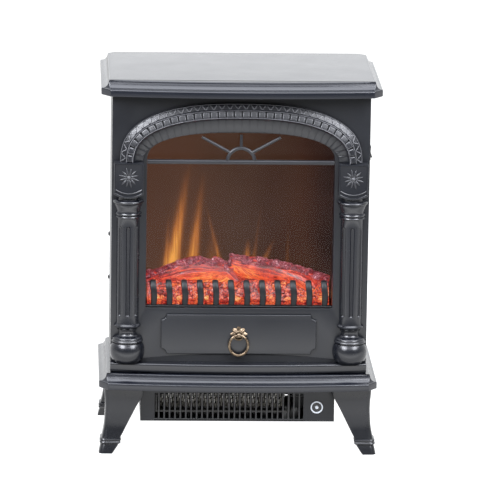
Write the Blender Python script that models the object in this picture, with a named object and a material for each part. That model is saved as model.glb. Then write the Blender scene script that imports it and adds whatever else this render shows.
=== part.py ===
"""Freestanding electric stove heater: a small arched fireplace front on a stove body with four legs.

Metres, +Z up. The front faces -Y, +X is the right-hand side seen from the front, and the origin is on
the floor under the middle of the stove. A log bed and a flame screen sit behind the arched window, with a
turning reflector behind them. An ash drawer slides out under the window, and a fan heater hangs below the
base plate. Three rocker switches are on the right side.
"""

import math

import bmesh
import bpy
from mathutils import Matrix, Vector

# Overall size
WIDTH = 0.400
DEPTH = 0.264
HEIGHT = 0.545
GAP = 0.0003  # between pieces that touch

# Top and base plates: one profile, a fascia under a raised panel
PLATE_HALF_WIDTH = WIDTH / 2
PLATE_BACK = DEPTH / 2
PLATE_SIDE_FRONT = -0.102  # where the straight side ends and the front corner is cut off
PLATE_CORNER_X = 0.187
PLATE_CORNER_Y = -0.120
PLATE_BOW = PLATE_CORNER_Y + DEPTH / 2  # how far the front edge bows out
PLATE_REAR_CUT = 0.010
PANEL_INSET = 0.0105
FASCIA = 0.010
SLOPE_RISE = 0.0082
PANEL_RISE = 0.022  # from the underside to the panel's top
BASE_Z = 0.0955
BASE_TOP = BASE_Z + PANEL_RISE
TOP_Z = HEIGHT - PANEL_RISE

# Body
BODY_HALF_WIDTH = 0.184
FRONT_Y = -0.094  # front face of the front frame
BACK_Y = 0.120
BODY_LOW = BASE_TOP + GAP
BODY_HIGH = TOP_Z - GAP
SHEET = 0.0010
FRAME_WALL = 0.004
FRAME_RETURN_Y = -0.074
REAR_FLANGE = 0.014
REAR_FLANGE_Y = 0.1185  # rear face of the side panels' flanges

# Arched window. An arch is a superellipse quarter on each side above the spring line.
SPRING_Z = 0.426
WINDOW_HALF_WIDTH = 0.134
WINDOW_LOW = 0.211
WINDOW_CROWN = 0.464
REVEAL_BACK = -0.070
REVEAL_WALL = 0.003
INNER_ARCH = (0.140, 0.4695, 2.3)  # half width, crown height, roundness of the moulding's inner edge
OUTER_ARCH = (0.1727, 0.511, 2.5)
ARCH_BANDS = ((0.0, 0.0), (0.44, 0.53), (0.72, 0.78), (1.0, 1.0))  # band edges, at the springs and the crown
ARCH_STEPS = 28

# Column: (height, radius) up its turned half-round
COLUMN_X = 0.160
COLUMN_PROFILE = (
    (0.1325, 0.0190), (0.138, 0.0228), (0.145, 0.0246), (0.151, 0.0250), (0.158, 0.0243), (0.164, 0.0215),
    (0.164, 0.0215), (0.175, 0.0215), (0.1752, 0.0135), (0.180, 0.0120), (0.185, 0.0135), (0.1852, 0.0190),
    (0.189, 0.0190), (0.191, 0.0163), (0.343, 0.0163), (0.344, 0.0185), (0.3475, 0.0170), (0.351, 0.0190),
    (0.353, 0.0170), (0.359, 0.0180), (0.364, 0.0213), (0.3655, 0.0215), (0.370, 0.0215), (0.3702, 0.0150),
    (0.378, 0.0150),
)
COLUMN_STEPS = 12
FLUTE_LOW = 0.200
FLUTE_HIGH = 0.333
FLUTE_RADIUS = 0.0028
FLUTE_ANGLES = (-45, 0, 45)
BLOCK_HALF_WIDTH = 0.021
BLOCK_LOW = 0.380
BLOCK_DIP = 0.006  # how far the block's lower edge bows down
BLOCK_HIGH = SPRING_Z - GAP
BLOCK_DEPTH = 0.019

# Sill moulding below the drawer
SILL_LOW = 0.1180
SILL_HIGH = 0.1322
SILL_END_Y = -0.103
SILL_MIDDLE_Y = -0.115

# Fire grate
FINGERS = 12
FINGER_PITCH = 0.0223
FINGER_WIDTH = 0.008

# Fire: floor, glass, log bed, screen
FIRE_FLOOR_Z = 0.2065
FIRE_SIDE_X = 0.1383
FIRE_ROOF_Z = 0.4709
GLASS_FRONT = REVEAL_BACK + GAP
GLASS_THICK = 0.003
SCREEN_FRONT = -0.0087
SCREEN_THICK = 0.003

# Flame rotor
ROTOR_Y = 0.038
ROTOR_Z = 0.238
ROTOR_SHAFT = 0.0025
ROTOR_HOLE = 0.0030
BLADE_REACH = 0.024
BLADES = 8
BRACKET_X = 0.126

# Ash drawer and its ring pull
DRAWER_HALF_WIDTH = 0.1116
DRAWER_LOW = 0.144
DRAWER_HIGH = 0.202
DRAWER_NOTCH = 0.008
DRAWER_THICK = 0.0035
DRAWER_HOLE = (0.104, 0.149, 0.198)  # half width, bottom and top of the hole in the front frame
TRAY_HALF_WIDTH = 0.1015
TRAY_LOW = 0.151
TRAY_HIGH = 0.189
TRAY_BACK = 0.008
TRAY_WALL = 0.0010
RING_PIVOT_Y = -0.104
RING_PIVOT_Z = 0.173
RING_HALF_WIDTH = 0.0135  # to the middle of the ring's section
RING_HALF_HEIGHT = 0.01475
RING_SECTION = 0.0020

# Heater under the base plate
HEATER_HALF_WIDTH = 0.140
HEATER_FRONT = -0.088
HEATER_BACK = 0.022
HEATER_LOW = 0.042
HEATER_HIGH = BASE_Z - GAP
HEATER_WALL = 0.0010
OUTLET = (-0.1195, 0.0958, 0.0835)  # left, right and top of the outlet in the housing's front
BARS = 27
BAR_PITCH = 0.0078
BAR_WIDTH = 0.0025
BLOWER_Y = -0.025
BLOWER_Z = 0.068
BLOWER_RADIUS = 0.019
BLOWER_ENDS = (-0.110, 0.070)
BLOWER_SHAFT = 0.0018
BLOWER_BORE = 0.0023

# Legs: (height, inner edge, outer edge) measured outwards from the stove's middle lines
LEG_STATIONS = (
    (HEATER_HIGH, 0.137, 0.1925), (0.083, 0.137, 0.1918), (0.062, 0.1485, 0.1908), (0.040, 0.1600, 0.1922),
    (0.0215, 0.1700, 0.1960), (0.0210, 0.1690, 0.1978), (0.0165, 0.1688, 0.1985), (0.0125, 0.1705, 0.1982),
    (0.0120, 0.1730, 0.1978), (0.0, 0.1805, 0.2000),
)
LEG_Y_SHIFTS = {"front": 0.084, "rear": 0.076}  # moving the same edges in by this gives the leg's place in Y
LEG_ARM = 0.018  # how thick each arm of the bracket is
LEG_CORNER = 0.006

# Rocker switches on the right side
SWITCH_Z = 0.434
SWITCH_YS = (-0.060, -0.039, -0.018)
SWITCH_NAMES = ("front", "middle", "rear")
ROCKER_PIVOT_X = 0.1832
ROCKER_TILT = math.radians(8)
SWITCH_CAVITY = (0.0050, 0.0090)  # half width, half height
SWITCH_NECK = (0.0059, 0.0098)
SWITCH_BEZEL = (0.0072, 0.0108)
SWITCH_CUT = (0.0062, 0.0101)

# Small parts
SCREW_HEAD = 0.0032
SCREW_SHANK = 0.0014
SCREW_HOLE = 0.0018
SIDE_SCREWS = {"upper": 0.2775, "lower": 0.2125}
SIDE_SCREW_Y = 0.098
REAR_SCREW_X = 0.177
REAR_SCREW_ZS = {"lower": 0.145, "upper": 0.495}
GLAND_X = 0.150
GLAND_Z = 0.142
GLAND_HOLE = 0.0066
REAR_DRILL_Y = 0.110  # where the cutters of the rear holes start
BADGE_X = 0.1147
BADGE_Z = 0.0634
BADGE_RADIUS = 0.009

COLOURS = {
    "charcoal paint": ((0.045, 0.046, 0.050, 1), 0.45, 0.0),
    "charcoal moulding": ((0.040, 0.041, 0.045, 1), 0.42, 0.0),
    "soot black": ((0.010, 0.010, 0.011, 1), 0.60, 0.0),
    "glass": ((0.20, 0.18, 0.17, 1), 0.05, 0.0),
    "embers": ((0.75, 0.12, 0.06, 1), 0.35, 0.0),
    "flame screen": ((0.10, 0.05, 0.03, 1), 0.40, 0.0),
    "antique brass": ((0.42, 0.29, 0.12, 1), 0.35, 1.0),
    "bright steel": ((0.60, 0.60, 0.60, 1), 0.35, 1.0),
    "circuit board": ((0.03, 0.20, 0.08, 1), 0.50, 0.0),
    "mica": ((0.62, 0.55, 0.42, 1), 0.60, 0.0),
    "black nylon": ((0.015, 0.015, 0.015, 1), 0.40, 0.0),
    "pale print": ((0.75, 0.76, 0.76, 1), 0.40, 0.0),
}


# ---------------------------------------------------------------- tools


def material(name):
    found = bpy.data.materials.get(name)
    if found:
        return found
    colour, roughness, metallic = COLOURS[name]
    made = bpy.data.materials.new(name)
    made.use_nodes = True
    shader = made.node_tree.nodes["Principled BSDF"]
    shader.inputs["Base Color"].default_value = colour
    shader.inputs["Roughness"].default_value = roughness
    shader.inputs["Metallic"].default_value = metallic
    return made


def add(name, points, faces, paint, origin=(0, 0, 0), smooth=35):
    """A closed mesh object from points in the stove's frame, with its own origin at the place given."""
    origin = Vector(origin)
    mesh = bpy.data.meshes.new(name)
    mesh.from_pydata([Vector(p) - origin for p in points], [], faces)
    work = bmesh.new()
    work.from_mesh(mesh)
    bmesh.ops.remove_doubles(work, verts=work.verts, dist=1e-6)
    bmesh.ops.recalc_face_normals(work, faces=work.faces)
    work.to_mesh(mesh)
    work.free()
    mesh.shade_smooth()
    mesh.set_sharp_from_angle(angle=math.radians(smooth))
    mesh.materials.append(material(paint))
    made = bpy.data.objects.new(name, mesh)
    made.location = origin
    bpy.context.scene.collection.objects.link(made)
    return made


def helper(made):
    """Marks an object as a cutter or a shape to be joined, so that it is no piece of its own."""
    made.hide_render = True
    made.display_type = "WIRE"
    return made


def boolean(made, other, operation):
    helper(other)
    step = made.modifiers.new(operation.lower(), "BOOLEAN")
    step.operation = operation
    step.solver = "EXACT"
    step.object = other
    return made


def cut(made, *others):
    for other in others:
        boolean(made, other, "DIFFERENCE")
    return made


def join(made, *others):
    for other in others:
        boolean(made, other, "UNION")
    return made


def loft(name, loops, paint, ring=False, **more):
    """Skins closed loops of equally many points, with a flat cap at each end, or joined into a ring."""
    count = len(loops[0])
    points = [point for loop in loops for point in loop]
    faces = []
    for row in range(len(loops) if ring else len(loops) - 1):
        here = row * count
        there = (row + 1) % len(loops) * count
        for i in range(count):
            j = (i + 1) % count
            faces.append((here + i, here + j, there + j, there + i))
    if not ring:
        faces.append(tuple(range(count)))
        faces.append(tuple(range(len(points) - count, len(points))))
    return add(name, points, faces, paint, **more)


def box(name, low, high, paint, **more):
    loops = [
        [(low[0], low[1], z), (high[0], low[1], z), (high[0], high[1], z), (low[0], high[1], z)]
        for z in (low[2], high[2])
    ]
    return loft(name, loops, paint, **more)


def boxes(name, spans, paint):
    """Several separate blocks in one mesh, for use as one cutter."""
    points = []
    faces = []
    for low, high in spans:
        first = len(points)
        for x in (low[0], high[0]):
            points += [(x, y, z) for y in (low[1], high[1]) for z in (low[2], high[2])]
        for face in ((0, 1, 3, 2), (4, 6, 7, 5), (0, 4, 5, 1), (2, 3, 7, 6), (0, 2, 6, 4), (1, 5, 7, 3)):
            faces.append(tuple(first + corner for corner in face))
    return add(name, points, faces, paint)


def prism_y(name, outline, front, back, paint, **more):
    """An outline of (x, z) points run from front to back."""
    return loft(name, [[(x, y, z) for x, z in outline] for y in (front, back)], paint, **more)


def prism_x(name, outline, left, right, paint, **more):
    """An outline of (y, z) points run from left to right."""
    return loft(name, [[(x, y, z) for y, z in outline] for x in (left, right)], paint, **more)


def prism_z(name, outline, low, high, paint, **more):
    """An outline of (x, y) points run upwards."""
    return loft(name, [[(x, y, z) for x, y in outline] for z in (low, high)], paint, **more)


def turned(name, profile, centre, axis, paint, steps=16, ring=False, **more):
    """Turns a profile of (distance along the axis, radius) about X, Y or Z through a centre."""
    turn = {"X": Matrix.Rotation(math.pi / 2, 3, "Y"), "Y": Matrix.Rotation(-math.pi / 2, 3, "X")}.get(axis)
    loops = []
    for along, radius in profile:
        loop = []
        for i in range(steps):
            angle = 2 * math.pi * i / steps
            point = Vector((radius * math.cos(angle), radius * math.sin(angle), along))
            loop.append(Vector(centre) + (turn @ point if turn else point))
        loops.append(loop)
    return loft(name, loops, paint, ring=ring, **more)


def bore(name, radius, place, axis, steps=8):
    """A cutter for a round hole, starting at a place."""
    return turned(name, ((0, radius), (0.02, radius)), place, axis, "soot black", steps)


def arch_point(arch, angle):
    """A point (x, z) on a superellipse arch, with the angle from 0 at its right end to pi at its left."""
    half_width, crown, power = arch
    across = math.cos(angle)
    up = math.sin(angle)
    x = half_width * math.copysign(abs(across) ** (2 / power), across)
    return x, SPRING_Z + (crown - SPRING_Z) * abs(up) ** (2 / power)


def arch_angles():
    """Angles from the right spring to the left one."""
    return [math.pi * i / ARCH_STEPS for i in range(ARCH_STEPS + 1)]


def window_outline(grow=0.0):
    arch = (WINDOW_HALF_WIDTH + grow, WINDOW_CROWN + grow, INNER_ARCH[2])
    outline = [arch_point(arch, angle) for angle in arch_angles()]
    return outline + [(-arch[0], WINDOW_LOW - grow), (arch[0], WINDOW_LOW - grow)]


# ---------------------------------------------------------------- plates and body


def plate_outline(blend):
    """The plate's edge at blend 0 and its raised panel's edge at blend 1, as (x, y) points."""
    half = PLATE_HALF_WIDTH - PANEL_INSET * blend
    side_front = PLATE_SIDE_FRONT - 0.0065 * blend
    corner_x = PLATE_CORNER_X + 0.0021 * blend
    corner_y = PLATE_CORNER_Y + 0.0112 * blend
    back = PLATE_BACK - PANEL_INSET * blend
    bow = PLATE_BOW - 0.0005 * blend
    right = [(half, back - PLATE_REAR_CUT), (half, side_front)]
    steps = 14
    front = []
    for i in range(steps + 1):
        across = 1 - 2 * i / steps
        front.append((corner_x * across, corner_y - bow * (1 - across * across)))
    left = [(-half, side_front), (-half, back - PLATE_REAR_CUT)]
    rear = [(-half + PLATE_REAR_CUT, back), (half - PLATE_REAR_CUT, back)]
    return right + front + left + rear


def plate(name, low):
    levels = (
        (0.004, 0.0), (0.0, 0.0015), (0.0, FASCIA - 0.0012), (0.09, FASCIA), (0.48, FASCIA + 0.0030),
        (1.0, FASCIA + SLOPE_RISE), (1.0, PANEL_RISE - 0.0008), (1.07, PANEL_RISE),
    )
    loops = [[(x, y, low + up) for x, y in plate_outline(blend)] for blend, up in levels]
    return loft(name, loops, "charcoal paint")


def base_plate():
    """The base plate has a slot through it for the heater's wires."""
    low = (0.100, 0.030, BASE_Z - 0.01)
    high = (0.130, 0.042, BASE_TOP + 0.01)
    slot = box("base_wire_slot", low, high, "soot black")
    return cut(plate("base_plate", BASE_Z), slot)


def side_panel(name, side):
    outline = [
        (side * BODY_HALF_WIDTH, FRAME_RETURN_Y + GAP),
        (side * BODY_HALF_WIDTH, REAR_FLANGE_Y),
        (side * (BODY_HALF_WIDTH - REAR_FLANGE), REAR_FLANGE_Y),
        (side * (BODY_HALF_WIDTH - REAR_FLANGE), REAR_FLANGE_Y - SHEET),
        (side * (BODY_HALF_WIDTH - SHEET), REAR_FLANGE_Y - SHEET),
        (side * (BODY_HALF_WIDTH - SHEET), FRAME_RETURN_Y + GAP),
    ]
    panel = prism_z(name, outline, BODY_LOW, BODY_HIGH, "charcoal paint")
    for level, z in REAR_SCREW_ZS.items():
        place = (side * REAR_SCREW_X, REAR_DRILL_Y, z)
        cut(panel, bore(f"{name}_hole_{level}", SCREW_HOLE, place, "Y"))
    return panel


def left_side_panel():
    panel = side_panel("left_side_panel", -1)
    for level, z in SIDE_SCREWS.items():
        place = (-BODY_HALF_WIDTH - 0.005, SIDE_SCREW_Y, z)
        cut(panel, bore(f"side_hole_{level}", SCREW_HOLE, place, "X"))
    return panel


def right_side_panel():
    panel = side_panel("right_side_panel", 1)
    half_width, half_height = SWITCH_CUT
    spans = []
    for y in SWITCH_YS:
        low = (0.170, y - half_width, SWITCH_Z - half_height)
        high = (0.190, y + half_width, SWITCH_Z + half_height)
        spans.append((low, high))
    return cut(panel, boxes("switch_cutouts", spans, "soot black"))


def rear_cover():
    cover = box("rear_cover", (-0.1835, BACK_Y - SHEET, 0.120), (0.1835, BACK_Y, 0.5205), "charcoal paint")
    spans = []
    for first in (0.168, 0.440):
        for row in range(6):
            z = first + 0.009 * row
            for x in (-0.045, 0.045):
                spans.append(((x - 0.035, 0.115, z), (x + 0.035, 0.125, z + 0.0035)))
    cut(cover, boxes("rear_slots", spans, "soot black"))
    for side in (-1, 1):
        for level, z in REAR_SCREW_ZS.items():
            place = (side * REAR_SCREW_X, REAR_DRILL_Y, z)
            cut(cover, bore(f"rear_hole_{level}_{side}", SCREW_HOLE, place, "Y"))
    return cut(cover, bore("gland_hole", GLAND_HOLE, (GLAND_X, REAR_DRILL_Y, GLAND_Z), "Y", 16))


def screw(name, place, axis, way):
    """A pan-head screw: its head stands out of the face at a place, and its shank runs the other way."""
    head = SCREW_HEAD
    profile = [(-0.0060, SCREW_SHANK), (GAP, SCREW_SHANK), (GAP, head), (0.0014, head), (0.0023, head * 0.6)]
    profile = [(way * along, radius) for along, radius in profile]
    made = turned(name, profile, place, axis, "soot black", 12)
    reach = 0.0032 * way
    near = 0.0016 * way
    span = sorted((near, reach))
    if axis == "X":
        low = (place[0] + span[0], place[1] - 0.0022, place[2] - 0.0004)
        high = (place[0] + span[1], place[1] + 0.0022, place[2] + 0.0004)
    else:
        low = (place[0] - 0.0022, place[1] + span[0], place[2] - 0.0004)
        high = (place[0] + 0.0022, place[1] + span[1], place[2] + 0.0004)
    return cut(made, box(f"{name}_slot", low, high, "soot black"))


# ---------------------------------------------------------------- front


def front_frame():
    wide = BODY_HALF_WIDTH
    thin = wide - 0.003
    back = FRONT_Y + FRAME_WALL
    outline = [
        (-wide, FRONT_Y), (wide, FRONT_Y), (wide, FRAME_RETURN_Y), (thin, FRAME_RETURN_Y),
        (thin, back), (-thin, back), (-thin, FRAME_RETURN_Y), (-wide, FRAME_RETURN_Y),
    ]
    frame = prism_z("front_frame", outline, BODY_LOW, BODY_HIGH, "charcoal moulding")
    reveal = window_outline(REVEAL_WALL)
    join(frame, prism_y("reveal", reveal, FRONT_Y + 0.002, REVEAL_BACK, "charcoal moulding"))
    cut(frame, prism_y("window_hole", window_outline(), FRONT_Y - 0.02, REVEAL_BACK + 0.02, "soot black"))
    half, low, high = DRAWER_HOLE
    hole = box("drawer_hole", (-half, FRONT_Y - 0.02, low), (half, FRONT_Y + 0.02, high), "soot black")
    return cut(frame, hole)


def arch_moulding():
    """A moulding that follows the arch: a cove inside, a dentil band in front and a sloping band outside.

    The cove is wider over the crown than at the springs, and the bands outside it are narrower there.
    """
    section = (
        (0.0, FRONT_Y - GAP), (0.0, -0.0965), (0.4, -0.1018), (0.8, -0.1075), (0.96, -0.1112),
        (1.03, -0.1130), (1.12, -0.1126), (1.90, -0.1096), (2.02, -0.1088), (2.10, -0.1068),
        (2.90, -0.1018), (3.0, -0.0985), (3.0, FRONT_Y - GAP),
    )
    loops = []
    for angle in arch_angles():
        inner = arch_point(INNER_ARCH, angle)
        outer = arch_point(OUTER_ARCH, angle)
        height = math.sin(angle)
        edges = [low + (high - low) * height for low, high in ARCH_BANDS]
        loop = []
        for band, y in section:
            part = min(int(band), 2)
            out = edges[part] + (edges[part + 1] - edges[part]) * (band - part)
            x = inner[0] + out * (outer[0] - inner[0])
            z = inner[1] + out * (outer[1] - inner[1])
            loop.append((x, y, z))
        loops.append(loop)
    return loft("arch_moulding", loops, "charcoal moulding")


def column(name, side):
    """A half-round turned column with a fluted shaft, and a square flower block on top."""
    x = side * COLUMN_X
    back = FRONT_Y - GAP
    loops = []
    for z, radius in COLUMN_PROFILE:
        loop = []
        for i in range(COLUMN_STEPS + 1):
            angle = math.pi * (1 + i / COLUMN_STEPS)
            loop.append((x + radius * math.cos(angle), back + radius * math.sin(angle), z))
        loops.append(loop)
    made = loft(name, loops, "charcoal moulding")
    for degrees in FLUTE_ANGLES:
        angle = math.radians(degrees - 90)
        out = 0.0163 + 0.0008
        place = (x + out * math.cos(angle), back + out * math.sin(angle), FLUTE_LOW)
        length = FLUTE_HIGH - FLUTE_LOW
        tip = 0.4 * FLUTE_RADIUS
        profile = ((0, tip), (0.002, FLUTE_RADIUS), (length - 0.002, FLUTE_RADIUS), (length, tip))
        cut(made, turned(f"{name}_flute_{degrees}", profile, place, "Z", "soot black", 8))
    lower = []
    for i in range(9):
        across = -1 + 2 * i / 8
        lower.append((x + BLOCK_HALF_WIDTH * across, BLOCK_LOW - BLOCK_DIP * (1 - across * across)))
    outline = lower + [(x + BLOCK_HALF_WIDTH, BLOCK_HIGH), (x - BLOCK_HALF_WIDTH, BLOCK_HIGH)]
    block = prism_y(f"{name}_block", outline, back, back - BLOCK_DEPTH, "charcoal moulding")
    middle = (x, back - BLOCK_DEPTH + 0.001, 0.4045)
    petals = turned(f"{name}_flower", ((0, 0.014), (-0.0026, 0.0125), (-0.0034, 0.003), (-0.0052, 0.002)),
                    middle, "Y", "charcoal moulding", 12)
    return join(made, block, petals)


def sill_moulding():
    steps = 14
    loops = []
    for i in range(steps + 1):
        across = -1 + 2 * i / steps
        front = SILL_END_Y + (SILL_MIDDLE_Y - SILL_END_Y) * (1 - across * across)
        x = BODY_HALF_WIDTH * across
        section = (
            (FRONT_Y - GAP, SILL_LOW), (front + 0.002, SILL_LOW), (front, SILL_LOW + 0.0015),
            (front, SILL_HIGH - 0.003), (front + 0.0015, SILL_HIGH - 0.0008), (front + 0.004, SILL_HIGH),
            (FRONT_Y - GAP, SILL_HIGH),
        )
        loops.append([(x, y, z) for y, z in section])
    return loft("sill_moulding", loops, "charcoal moulding")


def fanlight_bars():
    """A level bar across the window with a half-ring hub on it and three bars fanning out to the arch."""
    front = -0.0925
    back = -0.0885
    bars = box("fanlight_bars", (-0.1335, front, 0.4205), (0.1335, back, 0.427), "charcoal moulding")
    hub = []
    for radius in (0.022, 0.017):
        turns = [math.pi * i / 12 for i in range(13)]
        arc = [(radius * math.cos(turn), 0.4245 + radius * math.sin(turn)) for turn in turns]
        hub += arc if radius > 0.02 else arc[::-1]
    pieces = [prism_y("hub", hub, front + 0.0003, back - 0.0003, "charcoal moulding")]
    spokes = {
        "upright": ((0.0, 0.4445), (0.0, 0.4637)),
        "left": ((-0.0168, 0.4385), (-0.0560, 0.4600)),
        "right": ((0.0168, 0.4385), (0.0560, 0.4600)),
    }
    for name, (start, end) in spokes.items():
        along = (Vector(end) - Vector(start)).normalized()
        across = Vector((-along[1], along[0])) * 0.002
        corners = [Vector(start) - across, Vector(end) - across]
        corners += [Vector(end) + across, Vector(start) + across]
        outline = [(corner[0], corner[1]) for corner in corners]
        pieces.append(prism_y(f"spoke_{name}", outline, front + 0.0005, back - 0.0005, "charcoal moulding"))
    return join(bars, *pieces)


def fire_grate():
    """Upright fingers on one bar, each bulging forward and curling back at its rounded top."""
    low = WINDOW_LOW + GAP
    span = FINGER_PITCH * (FINGERS - 1) / 2
    grate = box("fire_grate", (-0.1335, -0.0925, low), (0.1335, -0.0845, low + 0.0035), "charcoal moulding")
    path = ((low + 0.001, -0.0885), (0.222, -0.0915), (0.233, -0.0935), (0.242, -0.0920), (0.248, -0.0865),
            (0.2495, -0.0815))
    for i in range(FINGERS):
        x = -span + FINGER_PITCH * i
        loops = []
        for step, (z, y) in enumerate(path):
            before = path[max(step - 1, 0)]
            after = path[min(step + 1, len(path) - 1)]
            rise = Vector((after[1] - before[1], after[0] - before[0])).normalized()
            half = FINGER_WIDTH / 2 * (0.62 if step == len(path) - 1 else 1)
            thick = Vector((rise[1], -rise[0])) * (0.0016 if step == len(path) - 1 else 0.0022)
            loops.append([
                (x - half, y + thick[0], z + thick[1]), (x + half, y + thick[0], z + thick[1]),
                (x + half * 0.7, y - thick[0], z - thick[1]), (x - half * 0.7, y - thick[0], z - thick[1]),
            ])
        join(grate, loft(f"finger_{i}", loops, "charcoal moulding"))
    return grate


def window_glass():
    low = (-0.1375, GLASS_FRONT, 0.209)
    high = (0.1375, GLASS_FRONT + GLASS_THICK, 0.470)
    return box("window_glass", low, high, "glass")


# ---------------------------------------------------------------- fire


def firebox():
    floor_top = FIRE_FLOOR_Z + SHEET
    front = GLASS_FRONT + GAP
    back = SCREEN_FRONT - GAP
    edge = FIRE_SIDE_X + SHEET
    box("firebox_floor", (-0.150, -0.0693, FIRE_FLOOR_Z), (0.150, 0.070, floor_top), "soot black")
    for name, side in (("left", -1), ("right", 1)):
        xs = sorted((side * FIRE_SIDE_X, side * edge))
        low = (xs[0], front, floor_top + GAP)
        high = (xs[1], back, FIRE_ROOF_Z - GAP)
        box(f"firebox_side_{name}", low, high, "soot black")
    box("firebox_roof", (-edge, front, FIRE_ROOF_Z), (edge, back, FIRE_ROOF_Z + SHEET), "soot black")
    low = (-edge, SCREEN_FRONT, floor_top + GAP)
    high = (edge, SCREEN_FRONT + SCREEN_THICK, FIRE_ROOF_Z + SHEET)
    box("flame_screen", low, high, "flame screen")


def log_bed():
    """A moulded heap of logs and embers, rising from a low front edge to an uneven ridge at the back."""
    low = FIRE_FLOOR_Z + SHEET + GAP
    stations = 17
    half_width = 0.131
    loops = []
    for i in range(stations):
        across = -1 + 2 * i / (stations - 1)
        x = half_width * across
        ridge = 0.262 + 0.010 * math.cos(2.2 * across) + 0.005 * math.sin(11 * across)
        middle = 0.237 + 0.006 * math.sin(9 * across + 1)
        front = 0.217 + 0.003 * math.sin(14 * across)
        section = (
            (-0.064, low), (-0.064, front), (-0.052, front + 0.010), (-0.038, middle),
            (-0.026, ridge - 0.006), (-0.020, ridge), (-0.013, ridge - 0.012), (-0.012, low),
        )
        loops.append([(x, y, z) for y, z in section])
    return loft("log_bed", loops, "embers")


def led_board():
    low = FIRE_FLOOR_Z + SHEET + GAP
    board = box("led_board", (-0.105, -0.003, low), (0.105, 0.009, low + 0.0016), "circuit board")
    for i in range(6):
        x = -0.090 + 0.036 * i
        profile = ((0.001, 0.0028), (0.0030, 0.0028), (0.0045, 0.0016))
        join(board, turned(f"led_{i}", profile, (x, 0.003, low), "Z", "circuit board", 8))
    return board


def flame_rotor():
    """A shaft with pairs of reflecting blades set round it in a slow twist. It turns about its shaft."""
    axis = (0, ROTOR_Y, ROTOR_Z)
    profile = ((-0.131, ROTOR_SHAFT), (0.1315, ROTOR_SHAFT))
    rotor = turned("flame_rotor", profile, axis, "X", "bright steel", 12, origin=axis)
    for i in range(BLADES):
        x = -0.098 + 0.028 * i
        turn = Matrix.Rotation(math.radians(45 * i), 3, "X")
        loops = []
        for reach in (-BLADE_REACH, BLADE_REACH):
            corners = ((-0.011, -0.0004), (0.011, -0.0004), (0.011, 0.0004), (-0.011, 0.0004))
            loop = []
            for along, thick in corners:
                loop.append(Vector(axis) + Vector((x, 0, 0)) + turn @ Vector((along, thick, reach)))
            loops.append(loop)
        join(rotor, loft(f"blade_{i}", loops, "bright steel"))
    return rotor


def rotor_bracket(name, side):
    low = FIRE_FLOOR_Z + SHEET + GAP
    outer = BRACKET_X + SHEET
    inner = BRACKET_X
    outline = [
        (side * outer, low), (side * outer, 0.262), (side * inner, 0.262), (side * inner, low + SHEET),
        (side * (inner - 0.012), low + SHEET), (side * (inner - 0.012), low),
    ]
    bracket = prism_y(name, outline, 0.020, 0.056, "bright steel")
    place = (side * inner - 0.01, ROTOR_Y, ROTOR_Z)
    return cut(bracket, bore(f"{name}_hole", ROTOR_HOLE, place, "X", 16))


def flame_motor():
    """A small round geared motor on the outside of the right bracket, with a hole for the rotor's shaft."""
    face = BRACKET_X + SHEET + GAP
    centre = (0, ROTOR_Y, ROTOR_Z)
    profile = ((face, 0.021), (face + 0.012, 0.021), (face + 0.0125, 0.019), (face + 0.018, 0.019))
    motor = turned("flame_motor", profile, centre, "X", "bright steel", 20)
    hole = ((0.1, ROTOR_HOLE), (face + 0.006, ROTOR_HOLE))
    return cut(motor, turned("motor_hole", hole, centre, "X", "soot black"))


# ---------------------------------------------------------------- ash drawer


def drawer_outline(inset):
    """The drawer front's outline, a rectangle with a quarter circle scooped out of each corner."""
    half = DRAWER_HALF_WIDTH - inset
    low = DRAWER_LOW + inset
    high = DRAWER_HIGH - inset
    radius = DRAWER_NOTCH + 0.4 * inset
    outline = []
    for sign_x, z, first in ((1, low, 180), (1, high, 270), (-1, high, 0), (-1, low, 90)):
        for i in range(6):
            angle = math.radians(first - 18 * i)
            outline.append((sign_x * half + radius * math.cos(angle), z + radius * math.sin(angle)))
    return outline


def drawer_front():
    back = FRONT_Y - GAP
    front = back - DRAWER_THICK
    levels = ((back, 0.0), (back - 0.0020, 0.0), (front + 0.0004, 0.0016), (front, 0.0024))
    loops = [[(x, y, z) for x, z in drawer_outline(inset)] for y, inset in levels]
    return loft("drawer_front", loops, "charcoal moulding")


def drawer_tray():
    outer = (TRAY_HALF_WIDTH, FRONT_Y, TRAY_BACK)
    inner = (TRAY_HALF_WIDTH - TRAY_WALL, FRONT_Y + TRAY_WALL, TRAY_BACK - TRAY_WALL)
    loops = []
    for (half, front, back), z in ((outer, TRAY_LOW), (outer, TRAY_HIGH), (inner, TRAY_HIGH),
                                   (inner, TRAY_LOW + TRAY_WALL)):
        loops.append([(-half, front, z), (half, front, z), (half, back, z), (-half, back, z)])
    return loft("drawer_tray", loops, "bright steel")


def drawer_runner(name, side):
    """A folded strip that stands on the base plate and carries the tray's edge."""
    ledge = TRAY_LOW - GAP
    outline = [
        (0.0970, ledge), (0.1052, ledge), (0.1052, 0.119), (0.120, 0.119),
        (0.120, BODY_LOW), (0.1040, BODY_LOW), (0.1040, ledge - TRAY_WALL), (0.0970, ledge - TRAY_WALL),
    ]
    outline = [(side * x, z) for x, z in outline]
    return prism_y(name, outline, FRONT_Y + FRAME_WALL + GAP, 0.060, "bright steel")


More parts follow.
